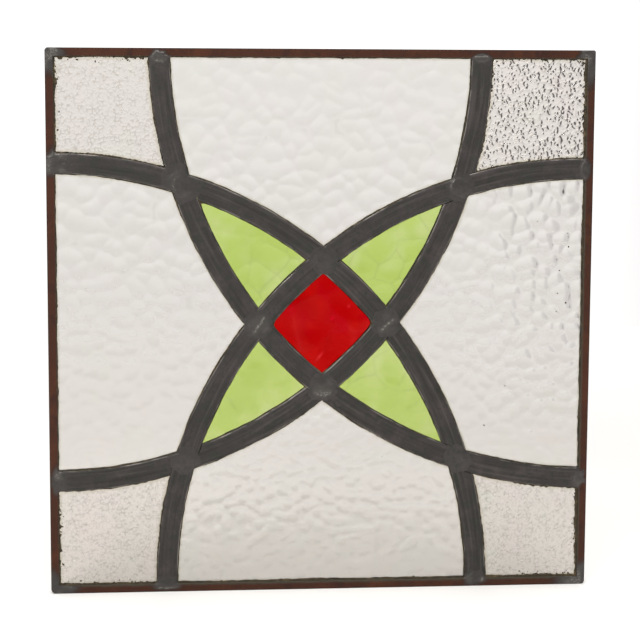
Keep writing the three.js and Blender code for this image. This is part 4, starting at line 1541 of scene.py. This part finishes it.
# %% [markdown]
# ## The studio
#
# Glass shows almost nothing of itself. What is seen is the room behind it, bent. So the room is made first
# of all for what it does behind the panel. It is bright and even straight behind, with a glow a little
# above, so that the clear panes look clear. Soft shades lie to the left and the right of that, and a dark
# card to the right, out of the picture. A slope in the glass that looks that way turns dark, which draws
# the grain. Photographers hang a black card there for the same reason. Low down the room takes the tone of
# the far floor, so that the line where they meet doesn't show in the glass. Overhead it is nearly as bright
# as behind, which lights the floor, and in front it is dim, so that the lead stays dark. All this is in the
# world's own colour, worked out from direction alone.

# %% The room
def direction(azimuth, elevation):
    """A unit vector towards the back at 0, with azimuth turning to the right, in degrees."""
    a, e = math.radians(azimuth), math.radians(elevation)
    return (math.sin(a) * math.cos(e), math.cos(a) * math.cos(e), math.sin(e))


world = bpy.data.worlds.new("studio")
scene.world = world
world.use_nodes = True
tree = world.node_tree
looking = put(tree, "ShaderNodeTexCoord").outputs["Generated"]


def facing(azimuth, elevation, outer, inner):
    """1 within an angle of a direction and 0 beyond a wider one."""
    towards = {0: looking, 1: direction(azimuth, elevation)}
    cosine = put(tree, "ShaderNodeVectorMath", towards, operation="DOT_PRODUCT").outputs["Value"]
    start, stop = math.cos(math.radians(outer)), math.cos(math.radians(inner))
    return remap(tree, cosine, start, stop, way="SMOOTHSTEP")


IN_FRONT, BEHIND = (0.5, 0.5, 0.51, 1), (1.2, 1.195, 1.19, 1)
LOW, OVERHEAD, GLOW = (1.06, 1.05, 1.035, 1), (1.14, 1.13, 1.12, 1), (1.38, 1.37, 1.36, 1)
SHADE, CARD = (0.9, 0.885, 0.89, 1), (0.12, 0.11, 0.11, 1)
# Laid over each other in this order: (azimuth, elevation, outer angle, inner angle, colour)
PATCHES = [
    (0, 0, 105, 60, BEHIND),
    (0, 90, 72, 45, OVERHEAD),
    (0, -90, 91, 82, LOW),
    (4, 14, 13, 4, GLOW),
    (-32, 0, 26, 20, SHADE),
    (44, 0, 32, 28, SHADE),
    (42, 2, 25.5, 23.5, CARD),
]
room_colour = IN_FRONT
for azimuth, elevation, outer, inner, patch_colour in PATCHES:
    room_colour = blend_colours(tree, facing(azimuth, elevation, outer, inner), room_colour, patch_colour)
tree.links.new(room_colour, tree.nodes["Background"].inputs["Color"])
print(f"world of {len(tree.nodes)} nodes")

# %% [markdown]
# ### The floor
#
# The floor is a pale disc, wide enough for the lower half of the picture. It is also what the lower panes
# show, so it has three tones: pale at the foot of the panel, greyer half a metre away, which is painted
# shade, and palest far off, where it meets the room.

# %% The floor
FLOOR_RADIUS = 1.35
# The greyer middle tone is painted shade on the floor.
FOOT_TONE, PAINTED_SHADE_TONE, FAR_TONE = (0.98, 0.96, 0.93, 1), (0.88, 0.868, 0.85, 1), (0.99, 0.983, 0.973, 1)

floor_mesh = bpy.data.meshes.new("floor")
disc = bmesh.new()
bmesh.ops.create_circle(disc, cap_ends=True, segments=96, radius=FLOOR_RADIUS)
disc.to_mesh(floor_mesh)
disc.free()
floor = bpy.data.objects.new("floor", floor_mesh)
scene.collection.objects.link(floor)
pale, tree, shader, place = start_material("pale floor", Roughness=0.7, Specular_IOR_Level=0.2)
from_foot = put(tree, "ShaderNodeVectorMath", {0: place}, operation="LENGTH").outputs["Value"]
tone = blend_colours(tree, remap(tree, from_foot, 0.1, 0.5), FOOT_TONE, PAINTED_SHADE_TONE)
tone = blend_colours(tree, remap(tree, from_foot, 0.5, 1.2), tone, FAR_TONE)
tree.links.new(tone, shader.inputs["Base Color"])
floor_mesh.materials.append(pale)

# %% [markdown]
# Two soft lamps do the rest. One stands up and to the left of the camera. The bends of the lead that look
# that way, on the cames that rise to the right, take a thin bright line from it. The other hangs over the
# floor in front of the panel, which would be greyer than the rest.

# %% Lamps
def soft_lamp(name, place, aim, size, power):
    """A soft lamp at a place, turned to an aim, with its power in watts. The camera doesn't see it."""
    lamp = bpy.data.objects.new(name, bpy.data.lights.new(name, "AREA"))
    scene.collection.objects.link(lamp)
    lamp.data.shape = "RECTANGLE"
    lamp.data.size, lamp.data.size_y = size
    lamp.data.energy = power
    lamp.location = place
    lamp.rotation_euler = (Vector(aim) - Vector(place)).to_track_quat("-Z", "Y").to_euler()
    lamp.visible_camera = False
    return lamp


soft_lamp("upper left", (-0.75, -1.3, 0.95), (0, 0, 0.17), (0.3, 0.3), 5.0)
soft_lamp("over the front", (0, -0.55, 1.0), (0, -0.5, 0), (0.8, 0.4), 5.0)

# %% [markdown]
# The view transform is set to Standard, which shows each colour as it is. The background is meant to be
# plain white, and a transform that compresses bright light would turn it grey.

# %% Closing
scene.view_settings.view_transform = "Standard"
scene.view_settings.look = "None"
